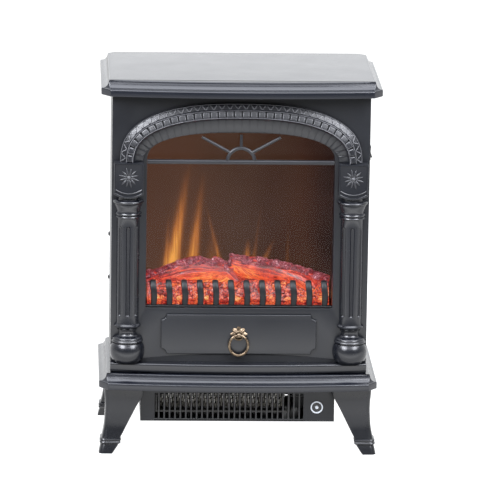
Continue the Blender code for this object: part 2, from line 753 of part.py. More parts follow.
def pull_backplate():
    """A small fan of rounded lobes with a pierced lug that the ring hangs in."""
    front = FRONT_Y - GAP - DRAWER_THICK - GAP
    outline = []
    for i in range(36):
        angle = math.radians(-40 + 260 * i / 35)
        lobe = abs(math.sin(math.radians(5 * 180 * (i / 35))))
        radius = 0.0105 + 0.0018 * lobe
        outline.append((radius * math.cos(angle), RING_PIVOT_Z + radius * math.sin(angle)))
    plate_made = prism_y("pull_backplate", outline, front, front - 0.0022, "antique brass")
    lug = []
    for i in range(13):
        angle = math.radians(90 + 15 * i)
        lug.append((RING_PIVOT_Y + 0.0042 * math.cos(angle), RING_PIVOT_Z + 0.0042 * math.sin(angle)))
    lug += [(front - 0.001, RING_PIVOT_Z - 0.0042), (front - 0.001, RING_PIVOT_Z + 0.0042)]
    join(plate_made, prism_x("lug", lug, -0.0021, 0.0021, "antique brass"))
    place = (-0.01, RING_PIVOT_Y, RING_PIVOT_Z)
    return cut(plate_made, bore("lug_hole", 0.0027, place, "X", 16))


def pull_ring():
    """A ring that hangs through the lug and swings about the middle of its own top."""
    pivot = (0, RING_PIVOT_Y, RING_PIVOT_Z)
    middle = RING_PIVOT_Z - RING_HALF_HEIGHT
    loops = []
    for i in range(28):
        angle = 2 * math.pi * i / 28
        out = Vector((math.cos(angle) / RING_HALF_WIDTH, 0, math.sin(angle) / RING_HALF_HEIGHT)).normalized()
        x = RING_HALF_WIDTH * math.cos(angle)
        z = middle + RING_HALF_HEIGHT * math.sin(angle)
        loop = []
        for j in range(8):
            around = 2 * math.pi * j / 8
            reach = math.cos(around) * out + math.sin(around) * Vector((0, 1, 0))
            loop.append(Vector((x, RING_PIVOT_Y, z)) + RING_SECTION * reach)
        loops.append(loop)
    return loft("pull_ring", loops, "antique brass", ring=True, origin=pivot)


# ---------------------------------------------------------------- heater


def heater_housing():
    low = (-HEATER_HALF_WIDTH, HEATER_FRONT, HEATER_LOW)
    high = (HEATER_HALF_WIDTH, HEATER_BACK, HEATER_HIGH)
    housing = box("heater_housing", low, high, "charcoal paint")
    inner_low = [value + HEATER_WALL for value in low]
    inner_high = [value - HEATER_WALL for value in high]
    left, right, top = OUTLET
    outlet_low = (left, HEATER_FRONT - 0.01, inner_low[2])
    outlet = box("outlet_hole", outlet_low, (right, -0.080, top), "soot black")
    spans = []
    for i in range(14):
        x = -0.102 + 0.0145 * i
        spans.append(((x, 0.015, 0.052), (x + 0.006, 0.030, 0.086)))
    return cut(housing, box("heater_inside", inner_low, inner_high, "soot black"), outlet,
               boxes("intake_slots", spans, "soot black"))


def outlet_grille():
    left, right, top = OUTLET
    front = HEATER_FRONT + HEATER_WALL + GAP
    back = front + 0.0022
    low = HEATER_LOW + HEATER_WALL + GAP
    high = (right + 0.0015, back, top + 0.0035)
    grille = box("outlet_grille", (left - 0.0015, front, low), high, "soot black")
    middle = (left + right) / 2
    first = middle - BAR_PITCH * (BARS - 1) / 2
    spans = []
    for i in range(BARS - 1):
        x = first + BAR_PITCH * i + BAR_WIDTH / 2
        opening = x + BAR_PITCH - BAR_WIDTH
        spans.append(((x, front - 0.01, low + 0.0015), (opening, back + 0.01, top + 0.0002)))
    return cut(grille, boxes("grille_slots", spans, "soot black"))


def heater_frame():
    """A frame of insulating board round the heating ribbon."""
    outer = ((-0.118, 0.054), (0.076, 0.054), (0.076, 0.087), (-0.118, 0.087))
    inner = ((-0.1155, 0.0565), (0.0735, 0.0565), (0.0735, 0.0845), (-0.1155, 0.0845))
    loops = [[(x, y, z) for x, z in outline] for outline, y in
             ((outer, -0.082), (outer, -0.066), (inner, -0.066), (inner, -0.082))]
    return loft("heater_frame", loops, "mica", ring=True)


def heating_ribbon():
    """A flat ribbon folded to and fro across the outlet."""
    folds = 30
    half_thick = 0.0003
    start = -0.112
    step = 0.182 / folds
    near = []
    far = []
    for i in range(folds + 1):
        y = -0.079 if i % 2 else -0.069
        near.append((start + step * i, y - half_thick * 2))
        far.append((start + step * i, y + half_thick * 2))
    return prism_z("heating_ribbon", near + far[::-1], 0.0600, 0.0800, "bright steel")


def blower():
    left, right = BLOWER_ENDS
    centre = (0, BLOWER_Y, BLOWER_Z)
    vanes = 14
    outline = []
    for i in range(vanes):
        for turn, radius in ((0.0, BLOWER_RADIUS), (0.35, BLOWER_RADIUS), (0.62, 0.0125), (0.98, 0.0125)):
            angle = 2 * math.pi * (i + turn) / vanes
            outline.append((BLOWER_Y + radius * math.cos(angle), BLOWER_Z + radius * math.sin(angle)))
    wheel = prism_x("blower_wheel", outline, left, right, "black nylon", origin=centre)
    shaft = ((-0.1195, BLOWER_SHAFT), (0.0890, BLOWER_SHAFT))
    join(wheel, turned("blower_shaft", shaft, centre, "X", "black nylon", 10))

    arc = []
    for i in range(15):
        angle = math.radians(-60 + 15 * i)
        arc.append((angle, 0.0212 + 0.0016 * i / 14))
    outside = [(BLOWER_Y + (r + 0.001) * math.cos(a), BLOWER_Z + (r + 0.001) * math.sin(a)) for a, r in arc]
    inside = [(BLOWER_Y + r * math.cos(a), BLOWER_Z + r * math.sin(a)) for a, r in arc]
    prism_x("blower_scroll", outside + inside[::-1], left - 0.002, right + 0.002, "bright steel")

    low = HEATER_LOW + HEATER_WALL + GAP
    bearing_high = (-0.1165, BLOWER_Y + 0.006, 0.074)
    bearing = box("blower_bearing", (-0.1215, BLOWER_Y - 0.006, low), bearing_high, "black nylon")
    hole = ((-0.125, BLOWER_BORE), (-0.110, BLOWER_BORE))
    cut(bearing, turned("bearing_hole", hole, centre, "X", "soot black", 12))

    motor_high = (0.112, BLOWER_Y + 0.018, 0.085)
    motor = box("blower_motor", (0.084, BLOWER_Y - 0.018, 0.051), motor_high, "bright steel")
    can = ((0.100, 0.015), (0.124, 0.015), (0.127, 0.012))
    join(motor, turned("motor_can", can, centre, "X", "bright steel"))
    hole = ((0.080, BLOWER_BORE), (0.094, BLOWER_BORE))
    cut(motor, turned("blower_motor_hole", hole, centre, "X", "soot black", 12))


def thermal_cutout():
    high = HEATER_HIGH - HEATER_WALL - GAP
    profile = ((high - 0.010, 0.0045), (high - 0.004, 0.0045), (high - 0.004, 0.008), (high, 0.008))
    return turned("thermal_cutout", profile, (0.088, -0.066, 0), "Z", "black nylon", 16)


def round_badge():
    """A plain pale disc with a raised rim, stuck on the housing's front."""
    back = HEATER_FRONT - GAP
    radius = BADGE_RADIUS
    profile = ((0, radius), (-0.0010, radius), (-0.0010, radius - 0.0012), (-0.0006, radius - 0.0014))
    return turned("round_badge", profile, (BADGE_X, back, BADGE_Z), "Y", "pale print", 24)


# ---------------------------------------------------------------- legs, switches, wiring


def leg(name, side_x, side_y, shift):
    """A corner bracket with two flared arms, narrowing to a ring and a slanting foot."""
    loops = []
    for z, inner, outer in LEG_STATIONS:
        arm = min(LEG_ARM, 0.9 * (outer - inner))
        inner_y = inner - shift
        outer_y = outer - shift
        corners = [
            (inner, outer_y - arm), (outer - arm, outer_y - arm), (outer - arm, inner_y), (outer, inner_y),
            (outer, outer_y - LEG_CORNER), (outer - LEG_CORNER * 0.3, outer_y - LEG_CORNER * 0.3),
            (outer - LEG_CORNER, outer_y), (inner, outer_y),
        ]
        loops.append([(side_x * x, side_y * y, z) for x, y in corners])
    return loft(name, loops, "charcoal paint")


def switch(name, y):
    """A rocker switch: a housing snapped into the side panel, and a rocker that tilts about a level axis."""
    def rectangle(half, x):
        wide, high = half
        return [(x, y - wide, SWITCH_Z - high), (x, y + wide, SWITCH_Z - high),
                (x, y + wide, SWITCH_Z + high), (x, y - wide, SWITCH_Z + high)]

    face = BODY_HALF_WIDTH + GAP
    front = face + 0.0022
    loops = [
        rectangle(SWITCH_CAVITY, 0.1770), rectangle(SWITCH_CAVITY, front), rectangle(SWITCH_BEZEL, front),
        rectangle(SWITCH_BEZEL, face), rectangle(SWITCH_NECK, face), rectangle(SWITCH_NECK, 0.1690),
    ]
    loft(f"switch_housing_{name}", loops, "black nylon")

    turn = Matrix.Rotation(-ROCKER_TILT, 2)
    profile = ((-0.0030, -0.0050), (0.0010, -0.0078), (0.0052, -0.0080), (0.0036, 0.0), (0.0052, 0.0080),
               (0.0010, 0.0078), (-0.0030, 0.0050))
    outline = []
    for out, up in profile:
        point = turn @ Vector((out, up))
        outline.append((ROCKER_PIVOT_X + point[0], SWITCH_Z - point[1]))
    loops = [[(x, y + side, z) for x, z in outline] for side in (-0.0045, 0.0045)]
    loft(f"rocker_{name}", loops, "black nylon", origin=(ROCKER_PIVOT_X, y, SWITCH_Z))


def cable_gland():
    """The cord's inlet: a sleeve through the rear cover with a nut on each side."""
    inside = -SHEET - GAP
    profile = (
        (0.0115, 0.0036), (0.0115, 0.0056), (0.0095, 0.0085), (GAP, 0.0085), (GAP, 0.0063),
        (inside, 0.0063), (inside, 0.0095), (-0.0060, 0.0095), (-0.0060, 0.0036),
    )
    return turned("cable_gland", profile, (GLAND_X, BACK_Y, GLAND_Z), "Y", "black nylon", 16, ring=True)


def terminal_block():
    low = BODY_LOW
    outline = [(0.080, low), (0.100, low), (0.100, low + 0.010), (0.095, low + 0.016), (0.085, low + 0.016),
               (0.080, low + 0.010)]
    block = prism_x("terminal_block", outline, 0.128, 0.164, "black nylon")
    spans = []
    for i in range(3):
        x = 0.134 + 0.012 * i - 0.003
        spans.append(((x, 0.0870, low + 0.010), (x + 0.006, 0.0930, low + 0.020)))
    return cut(block, boxes("terminal_wells", spans, "soot black"))


def power_board():
    """A small driver board on four posts, on the inside of the right side panel."""
    inside = BODY_HALF_WIDTH - SHEET - GAP
    board_high = (inside - 0.0044, 0.080, 0.345)
    board = box("power_board", (inside - 0.0060, 0.020, 0.300), board_high, "circuit board")
    for y in (0.025, 0.075):
        for z in (0.305, 0.340):
            profile = ((inside - 0.0050, 0.002), (inside, 0.002))
            join(board, turned(f"post_{y}_{z}", profile, (0, y, z), "X", "circuit board", 8))
    transformer_high = (inside - 0.0055, 0.050, 0.332)
    join(board, box("transformer", (inside - 0.020, 0.030, 0.308), transformer_high, "circuit board"))
    profile = ((inside - 0.018, 0.005), (inside - 0.0055, 0.005))
    return join(board, turned("capacitor", profile, (0, 0.065, 0.318), "X", "circuit board", 12))


# ---------------------------------------------------------------- assembly


def build():
    for old in list(bpy.data.objects):
        bpy.data.objects.remove(old, do_unlink=True)

    plate("top_plate", TOP_Z)
    base_plate()
    left_side_panel()
    right_side_panel()
    rear_cover()
    for name, z in SIDE_SCREWS.items():
        screw(f"side_screw_{name}", (-BODY_HALF_WIDTH, SIDE_SCREW_Y, z), "X", -1)
    for name, z in REAR_SCREW_ZS.items():
        screw(f"rear_screw_{name}_left", (-REAR_SCREW_X, BACK_Y, z), "Y", 1)
        screw(f"rear_screw_{name}_right", (REAR_SCREW_X, BACK_Y, z), "Y", 1)

    front_frame()
    arch_moulding()
    column("left_column", -1)
    column("right_column", 1)
    sill_moulding()
    fanlight_bars()
    fire_grate()
    window_glass()

    firebox()
    log_bed()
    led_board()
    flame_rotor()
    rotor_bracket("rotor_bracket_left", -1)
    rotor_bracket("rotor_bracket_right", 1)
    flame_motor()

    drawer_front()
    drawer_tray()
    drawer_runner("drawer_runner_left", -1)
    drawer_runner("drawer_runner_right", 1)
    pull_backplate()
    pull_ring()

    heater_housing()
    outlet_grille()
    heater_frame()
    heating_ribbon()
    blower()
    thermal_cutout()
    round_badge()

    for x_name, side_x in (("left", -1), ("right", 1)):
        leg(f"front_{x_name}_leg", side_x, -1, LEG_Y_SHIFTS["front"])
        leg(f"rear_{x_name}_leg", side_x, 1, LEG_Y_SHIFTS["rear"])
    for name, y in zip(SWITCH_NAMES, SWITCH_YS):
        switch(name, y)
    cable_gland()
    terminal_block()
    power_board()


build()
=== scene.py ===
"""The looks of a freestanding electric stove heater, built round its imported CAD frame.

Metres, +Z up. The front faces -Y, +X is the right-hand side seen from the front, and the origin is on the
floor under the middle of the stove. The mouldings, columns, grate, fire, drawer and legs get fine meshes of
their own in place of the plain CAD solids. The flat sheets and the inner parts keep theirs, with new
materials.
"""

import bisect
import functools
import math
import random

import bmesh
import bpy
from mathutils import Matrix, Vector, noise
from mathutils.bvhtree import BVHTree


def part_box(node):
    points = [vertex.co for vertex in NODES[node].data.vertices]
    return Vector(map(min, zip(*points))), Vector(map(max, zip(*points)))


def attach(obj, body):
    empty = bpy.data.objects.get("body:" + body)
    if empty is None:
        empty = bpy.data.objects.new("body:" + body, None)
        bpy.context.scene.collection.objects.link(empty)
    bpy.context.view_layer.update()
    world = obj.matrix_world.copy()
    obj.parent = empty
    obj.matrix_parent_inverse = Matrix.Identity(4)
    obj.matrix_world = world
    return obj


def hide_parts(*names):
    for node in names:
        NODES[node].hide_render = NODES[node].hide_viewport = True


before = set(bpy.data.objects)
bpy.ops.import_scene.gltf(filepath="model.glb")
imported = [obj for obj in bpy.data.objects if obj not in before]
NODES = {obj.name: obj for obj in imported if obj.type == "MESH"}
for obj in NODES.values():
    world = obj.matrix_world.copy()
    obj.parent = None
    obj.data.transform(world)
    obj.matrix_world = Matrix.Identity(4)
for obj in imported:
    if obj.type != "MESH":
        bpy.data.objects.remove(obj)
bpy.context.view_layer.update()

# The front frame, and the gap between solids that rest on each other
GAP = 0.0003
FRAME_LOW, FRAME_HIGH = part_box("front_frame")
FRONT_Y = -0.094  # the front frame's outer face
FACE_Y = FRONT_Y - GAP  # the back of what is planted on it
FORWARD = (0, -1, 0)
RIGHT_ANGLE = math.pi / 2

# Arches that rise from the spring line: half width, height of the crown, and power of the superellipse
SPRING_Z = 0.426
INNER_ARCH = (0.140, 0.4695, 2.3)
OUTER_ARCH = (0.1727, 0.511, 2.5)
WINDOW_ARCH = (0.134, 0.467, 2.6)
WINDOW_LOW = 0.211
BLOCK_LOW = 0.380  # the bottom corners of the columns' blocks
COLUMN_X = 0.160

# The drawer's pull hangs on this pivot, and each rocker switch turns on one of its own
PULL_Y, PULL_Z = -0.104, 0.173
ROCKER_X, ROCKER_Z = 0.1832, 0.434
ROCKER_TILT = -8  # degrees, at rest
SWITCH_FACE_X = 0.1843

# Camera: degrees, metres, and millimetres for the lens
CAMERA_YAW = 2.40
CAMERA_PITCH = 12.49
CAMERA_ROLL = 0.88
CAMERA_DISTANCE = 6.838
CAMERA_AIM = Vector((0.0189, 0.010, 0.2735))
CAMERA_LENS = 338.7


# ---------------------------------------------------------------- shapes


class Shape:
    """Closed shells gathered into one mesh, as points in the stove's frame and faces."""

    def __init__(self):
        self.points = []
        self.faces = []
        self.marks = []
        self.grain = []

    def add(self, points, faces, mark=0.0):
        first = len(self.points)
        self.points += [Vector(point) for point in points]
        self.faces += [tuple(first + corner for corner in face) for face in faces]
        self.marks += [mark] * len(points)
        return self

    def loft(self, loops, ring=False, caps=True, mark=0.0):
        """Skins closed loops of equally many points, capped at both ends or joined into a ring."""
        count = len(loops[0])
        faces = []
        for row in range(len(loops) if ring else len(loops) - 1):
            here = row * count
            there = (row + 1) % len(loops) * count
            for i in range(count):
                j = (i + 1) % count
                faces.append((here + i, here + j, there + j, there + i))
        if caps and not ring:
            faces.append(tuple(range(count))[::-1])
            faces.append(tuple(range((len(loops) - 1) * count, len(loops) * count)))
        return self.add([point for loop in loops for point in loop], faces, mark)

    def turned(self, profile, centre, axis="Z", steps=32, **more):
        """Turns a profile of (distance along the axis, radius) about an axis through a centre."""
        turn = axis_turn(axis)
        loops = []
        for along, radius in profile:
            loops.append([
                Vector(centre) + turn @ Vector((radius * math.cos(a), radius * math.sin(a), along))
                for a in circle(steps)
            ])
        return self.loft(loops, **more)

    def sweep(self, path, section, up=(0, 0, 1), ring=False, sizes=None, mark=0.0):
        """Runs a closed section of (across, out) along a path, with 'out' held near the direction up."""
        loops = []
        count = len(path)
        for i, point in enumerate(path):
            if ring:
                along = Vector(path[(i + 1) % count]) - Vector(path[i - 1])
            else:
                along = Vector(path[min(i + 1, count - 1)]) - Vector(path[max(i - 1, 0)])
            along.normalize()
            across = along.cross(Vector(up)).normalized()
            out = across.cross(along)
            size = sizes[i] if sizes else 1.0
            loops.append([Vector(point) + (across * a + out * b) * size for a, b in section])
        return self.loft(loops, ring=ring, mark=mark)

    def box(self, low, high, mark=0.0):
        loops = [
            [(low[0], low[1], z), (high[0], low[1], z), (high[0], high[1], z), (low[0], high[1], z)]
            for z in (low[2], high[2])
        ]
        return self.loft(loops, mark=mark)

    def flat(self, outlines, axis, low, high, edge=0.0004, steps=2):
        """A flat plate square to an axis, with every edge rounded. Outlines after the first are holes."""
        curve = bpy.data.curves.new("flat", "CURVE")
        curve.dimensions = "2D"
        curve.fill_mode = "BOTH"
        curve.extrude = (high - low) / 2 - edge
        curve.bevel_depth = edge
        curve.bevel_resolution = steps
        curve.offset = -edge
        for number, outline in enumerate(outlines):
            turning = sum(a[0] * b[1] - b[0] * a[1] for a, b in zip(outline, outline[1:] + outline[:1]))
            if (turning > 0) == (number > 0):
                outline = outline[::-1]
            spline = curve.splines.new("POLY")
            spline.points.add(len(outline) - 1)
            for point, (u, v) in zip(spline.points, outline):
                point.co = (u, v, 0, 1)
            spline.use_cyclic_u = True
        holder = bpy.data.objects.new("flat", curve)
        mesh = bpy.data.meshes.new_from_object(holder)
        middle = (low + high) / 2
        place = {
            "X": lambda u, v, w: (middle + w, u, v),
            "Y": lambda u, v, w: (u, middle + w, v),
            "Z": lambda u, v, w: (u, v, middle + w),
        }[axis]
        points = [place(*vertex.co) for vertex in mesh.vertices]
        faces = [tuple(face.vertices) for face in mesh.polygons]
        bpy.data.objects.remove(holder)
        bpy.data.meshes.remove(mesh)
        bpy.data.curves.remove(curve)
        return self.add(points, faces)


def circle(steps):
    """Angles round a full turn."""
    return [2 * math.pi * i / steps for i in range(steps)]


def evenly(count, low, high):
    """So many numbers from low to high, both of them included."""
    return [low + (high - low) * i / (count - 1) for i in range(count)]


def oval(across, up, steps, u=0.0, v=0.0, first=0.0, last=None):
    """Points (u, v) round an oval, or along the part of it between two angles."""
    angles = circle(steps) if last is None else evenly(steps, first, last)
    return [(u + across * math.cos(a), v + up * math.sin(a)) for a in angles]


def axis_turn(axis):
    if axis == "X":
        return Matrix.Rotation(math.pi / 2, 3, "Y")
    if axis == "Y":
        return Matrix.Rotation(-math.pi / 2, 3, "X")
    return Matrix.Identity(3)


def blend(a, b, share):
    return a + (b - a) * share


def smooth_step(low, high, value):
    share = max(0.0, min(1.0, (value - low) / (high - low)))
    return share * share * (3 - 2 * share)


def spline(stations, steps):
    """A smooth curve (Catmull-Rom) through stations, tuples of numbers, with so many steps between two."""
    found = []
    for i in range(len(stations) - 1):
        a = Vector(stations[max(i - 1, 0)])
        b = Vector(stations[i])
        c = Vector(stations[i + 1])
        d = Vector(stations[min(i + 2, len(stations) - 1)])
        for step in range(steps):
            t = step / steps
            found.append(0.5 * (2 * b + (c - a) * t + (2 * a - 5 * b + 4 * c - d) * t * t
                                + (3 * b - a - 3 * c + d) * t ** 3))
    return found + [Vector(stations[-1])]


def rounded(outline, radius, steps=4):
    """A closed outline of (u, v) points with each corner replaced by an arc-like curve."""
    found = []
    count = len(outline)
    for i in range(count):
        corner = Vector(outline[i])
        before = Vector(outline[i - 1]) - corner
        after = Vector(outline[(i + 1) % count]) - corner
        start = corner + before.normalized() * min(radius, before.length * 0.45)
        end = corner + after.normalized() * min(radius, after.length * 0.45)
        for step in range(steps + 1):
            t = step / steps
            found.append(tuple(start * (1 - t) ** 2 + corner * 2 * t * (1 - t) + end * t * t))
    return found


def rectangle(low_u, high_u, low_v, high_v):
    return [(low_u, low_v), (high_u, low_v), (high_u, high_v), (low_u, high_v)]


def disc(u, v, radius, steps=20):
    return oval(radius, radius, steps, u, v)


def star_directions(turn):
    """In the plane that faces the front: along a ray turned so far from upright, and across it."""
    return Vector((math.sin(turn), 0, math.cos(turn))), Vector((math.cos(turn), 0, -math.sin(turn)))


def arch_point(arch, angle):
    """A point (x, z) on a superellipse arch, with the angle from 0 at its right end to pi at its left."""
    half_width, crown, power = arch
    across = math.cos(angle)
    x = half_width * math.copysign(abs(across) ** (2 / power), across)
    return x, SPRING_Z + (crown - SPRING_Z) * abs(math.sin(angle)) ** (2 / power)


def piece(name, shape, slot, material, *replaces, body="stove", sharp=32):
    """Makes the shape an object that rides on a body and stands for the CAD nodes named."""
    mesh = bpy.data.meshes.new(name)
    mesh.from_pydata(shape.points, [], shape.faces)
    mesh.attributes.new("mark", "FLOAT", "POINT").data.foreach_set("value", shape.marks)
    if shape.grain:
        grain = mesh.attributes.new("grain", "FLOAT_VECTOR", "POINT")
        grain.data.foreach_set("vector", [value for point in shape.grain for value in point])
    work = bmesh.new()
    work.from_mesh(mesh)
    bmesh.ops.remove_doubles(work, verts=work.verts, dist=1e-7)
    bmesh.ops.recalc_face_normals(work, faces=work.faces)
    work.to_mesh(mesh)
    work.free()
    mesh.shade_smooth()
    mesh.set_sharp_from_angle(angle=math.radians(sharp))
    mesh.materials.append(material)
    made = bpy.data.objects.new(name, mesh)
    bpy.context.scene.collection.objects.link(made)
    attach(made, body)
    if replaces:
        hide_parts(*replaces)


def keep(names, material, edge=0.0):
    """The CAD nodes named stay as they are, with a new material and, where asked, rounded edges."""
    for name in names.split():
        node = NODES[name]
        node.data.materials.clear()
        node.data.materials.append(material)
        if edge:
            rounding = node.modifiers.new("edge", "BEVEL")
            rounding.width = edge
            rounding.segments = 2
            rounding.limit_method = "ANGLE"
            rounding.angle_limit = math.radians(50)
            rounding.harden_normals = True


# ---------------------------------------------------------------- materials


class Graph:
    """A material, and calls that add nodes to it. An input is a number, a colour or another output."""

    def __init__(self, name):
        self.material = bpy.data.materials.new(name)
        self.material.use_nodes = True
        self.tree = self.material.node_tree
        self.shader = self.tree.nodes["Principled BSDF"]
        self.place = self.node("TexCoord").outputs["Object"]

    def node(self, kind, **settings):
        made = self.tree.nodes.new("ShaderNode" + kind)
        for key, value in settings.items():
            setattr(made, key, value)
        return made

    def put(self, socket, value):
        if isinstance(value, bpy.types.NodeSocket):
            self.tree.links.new(value, socket)
        else:
            socket.default_value = value

    def set(self, **values):
        """Sets the shader's own sockets, written with underscores."""
        for key, value in values.items():
            self.put(self.shader.inputs[key.replace("_", " ")], value)

    def x_and(self, other):
        """Where a point is: along X, and along Y (1) or Z (2)."""
        split = self.node("SeparateXYZ")
        self.put(split.inputs[0], self.place)
        return split.outputs[0], split.outputs[other]

    def math(self, operation, *values):
        made = self.node("Math", operation=operation)
        for socket, value in zip(made.inputs, values):
            self.put(socket, value)
        return made.outputs[0]

    def add(self, first, *others):
        for other in others:
            first = self.math("ADD", first, other)
        return first

    def times(self, first, second):
        return self.math("MULTIPLY", first, second)

    def stretch(self, vector, scale):
        made = self.node("VectorMath", operation="MULTIPLY")
        self.put(made.inputs[0], vector)
        self.put(made.inputs[1], scale)
        return made.outputs[0]

    def noise(self, scale, detail=3.0, rough=0.5, vector=None, distortion=0.0):
        made = self.node("TexNoise")
        for key, value in {"Vector": vector or self.place, "Scale": scale, "Detail": detail,
                           "Roughness": rough, "Distortion": distortion}.items():
            self.put(made.inputs[key], value)
        return made.outputs["Fac"]

    def cracks(self, scale):
        """The distance to the nearest crack of a net of them."""
        made = self.node("TexVoronoi", feature="DISTANCE_TO_EDGE")
        self.put(made.inputs["Vector"], self.place)
        self.put(made.inputs["Scale"], scale)
        return made.outputs["Distance"]

    def range(self, value, low, high, to_low=0.0, to_high=1.0):
        made = self.node("MapRange")
        for socket, number in zip(made.inputs, (value, low, high, to_low, to_high)):
            self.put(socket, number)
        return made.outputs[0]

    def swing(self, noise, most):
        """A noise made to run from -most to most."""
        return self.range(noise, 0.3, 0.7, -most, most)

    def ramp(self, value, *stops):
        made = self.node("ValToRGB")
        ends = made.color_ramp.elements
        while len(ends) < len(stops):
            ends.new(0.5)
        for end, (place, colour) in zip(ends, stops):
            end.position = place
            end.color = (*colour, 1)
        self.put(made.inputs[0], value)
        return made.outputs[0]

    def mix(self, share, first, second, blend_type="MIX"):
        made = self.node("Mix", data_type="RGBA", blend_type=blend_type)
        self.put(made.inputs[0], share)
        for socket, value in ((made.inputs[6], first), (made.inputs[7], second)):
            self.put(socket, (*value, 1) if isinstance(value, tuple) and len(value) == 3 else value)
        return made.outputs[2]

    def bump(self, height, distance):
        """Ends the material with a bump."""
        made = self.node("Bump")
        self.put(made.inputs["Strength"], 1.0)
        self.put(made.inputs["Distance"], distance)
        self.put(made.inputs["Height"], height)
        self.put(self.shader.inputs["Normal"], made.outputs[0])
        return self.material

    def embers(self, base, roughness, strength, level, *stops):
        """Dark resin that glows by a level."""
        self.set(Base_Color=(*base, 1), Roughness=roughness, Emission_Color=self.ramp(level, *stops),
                 Emission_Strength=strength)

    def attribute(self, name, output="Fac"):
        return self.node("Attribute", attribute_name=name).outputs[output]


def tint(colour, share):
    return tuple(channel * share for channel in colour)


def finish(name, colour, roughness, metallic=0.0, specular=0.5, mottle=0.12, patch=18.0, grain=700.0,
           depth=0.00002, spread=0.05, painted_highlight=None):
    """A painted, moulded or plated finish: a slow drift of shade and gloss over a fine surface grain.

    Where the mesh's mark is high, a finish given a highlight colour shows it there: a painted highlight on
    raised edges."""
    graph = Graph(name)
    drift = graph.noise(patch, 4.0, 0.6)
    fine = graph.noise(grain, 2.0, 0.6)
    both = graph.add(graph.times(drift, 0.75), graph.times(fine, 0.25))
    shade = graph.ramp(both, (0.32, tint(colour, 1 - mottle)), (0.68, tint(colour, 1 + mottle)))
    if painted_highlight:
        shade = graph.mix(graph.times(graph.attribute("mark"), drift), shade, painted_highlight)
    graph.set(Base_Color=shade, Roughness=graph.range(both, 0.3, 0.7, roughness - spread, roughness + spread),
              Metallic=metallic, Specular_IOR_Level=specular)
    return graph.bump(fine, depth)


def paint(name, colour, roughness, specular, spread=0.05, painted_highlight=None):
    """A sprayed paint with a fine texture. Its optional highlight colour is a painted highlight on its high
    places.
    """
    return finish(name, colour, roughness, specular=specular, grain=1100.0, depth=0.00001, spread=spread,
                  painted_highlight=painted_highlight)


BOARD_PAINT = finish("satin_board_paint", (0.0036, 0.0044, 0.0074), 0.24, mottle=0.06, grain=1400.0,
                     depth=0.000006, spread=0.02)
STEEL_PAINT = paint("satin_steel_paint", (0.0042, 0.0048, 0.0066), 0.34, 0.36)
FRAME_PAINT = paint("satin_frame_paint", (0.0036, 0.0043, 0.0062), 0.34, 0.52)
CAST_PAINT = paint("satin_moulding_paint", (0.0034, 0.0040, 0.0060), 0.26, 0.52, 0.03)
# The pale colour in this moulding paint is a painted highlight on the raised edges and crests that the meshes
# mark.
ARCH_PAINT = paint("moulding_paint_painted_highlights", (0.0034, 0.0040, 0.0060), 0.32, 0.46, 0.03, (0.18, 0.18, 0.19))
LEG_PAINT = paint("leg_paint", (0.0034, 0.0039, 0.0054), 0.29, 0.46)
GRATE_PAINT = paint("matt_grate_paint", (0.0034, 0.0038, 0.0048), 0.42, 0.27)
SOOT = finish("firebox_black", (0.006, 0.006, 0.006), 0.55, specular=0.30, grain=1100.0)
ZINC = finish("zinc_plate", (0.34, 0.35, 0.36), 0.36, metallic=1.0, patch=60.0, grain=1500.0, mottle=0.18)
RIBBON = finish("ribbon_alloy", (0.40, 0.39, 0.37), 0.42, metallic=1.0, patch=40.0, mottle=0.3)
MICA = finish("mica_board", (0.012, 0.011, 0.010), 0.50, patch=110.0, grain=1600.0, mottle=0.3)
NYLON = finish("black_nylon", (0.012, 0.012, 0.0125), 0.40, grain=2200.0)
BOARD_GREEN = finish("circuit_board", (0.02, 0.13, 0.055), 0.40, patch=200.0, grain=2500.0, mottle=0.25)
PRINT = finish("pale_print", (0.53, 0.56, 0.60), 0.38, patch=120.0, mottle=0.05)
SCREW_BLACK = finish("black_oxide", (0.030, 0.030, 0.032), 0.34, metallic=0.9, patch=160.0, mottle=0.25)
FOIL = finish("rotor_foil", (0.62, 0.60, 0.57), 0.22, metallic=1.0, patch=90.0, grain=350.0, depth=0.0002)


def brass():
    """Antiqued brass: a noise spreads bright brass and brown patina over it."""
    graph = Graph("antique_brass")
    drift = graph.times(graph.noise(170.0, 4.0, 0.6), 0.7)
    both = graph.add(drift, graph.times(graph.noise(2600.0, 3.0, 0.6), 0.3))
    colour = graph.ramp(both, (0.34, (0.030, 0.021, 0.015)), (0.48, (0.115, 0.084, 0.056)),
                        (0.70, (0.27, 0.21, 0.145)))
    graph.set(Base_Color=colour, Roughness=graph.range(both, 0.35, 0.65, 0.46, 0.26), Metallic=1.0)
    return graph.bump(both, 0.00008)


BRASS = brass()


def glass():
    """Thin clear glass with a faint tint."""
    graph = Graph("window_glass")
    colour = graph.ramp(graph.noise(6.0, 3.0), (0.3, (0.90, 0.89, 0.87)), (0.7, (0.94, 0.93, 0.92)))
    graph.set(Base_Color=colour, Roughness=0.0, IOR=1.15, Transmission_Weight=1.0)
    return graph.material


# The flames: place at the foot, lean, bend, half width, top and strength
FLAMES = (
    (-0.0960, 0.155, 0.00, 0.0084, 0.400, 0.95), (-0.1045, 0.06, -0.05, 0.0030, 0.335, 0.45),
    (-0.0880, 0.10, 0.10, 0.0044, 0.420, 0.35), (-0.0800, 0.06, 0.0, 0.0320, 0.470, 0.09),
    (-0.0673, 0.125, 0.00, 0.0070, 0.395, 0.75), (-0.0600, 0.04, 0.10, 0.0040, 0.360, 0.30),
    (-0.0238, -0.27, 0.20, 0.0032, 0.350, 0.50), (-0.0360, 0.00, 0.0, 0.0090, 0.310, 0.30),
    (0.0130, 0.05, 0.0, 0.0048, 0.296, 0.75), (0.0210, 0.15, 0.0, 0.0030, 0.290, 0.30),
    (0.0240, 0.06, 0.60, 0.0028, 0.350, 0.24), (0.0350, 0.45, 0.0, 0.0042, 0.296, 0.50),
    (0.0720, 0.02, 0.0, 0.0024, 0.315, 0.20), (0.0900, 0.00, 0.0, 0.0300, 0.480, 0.07),
)
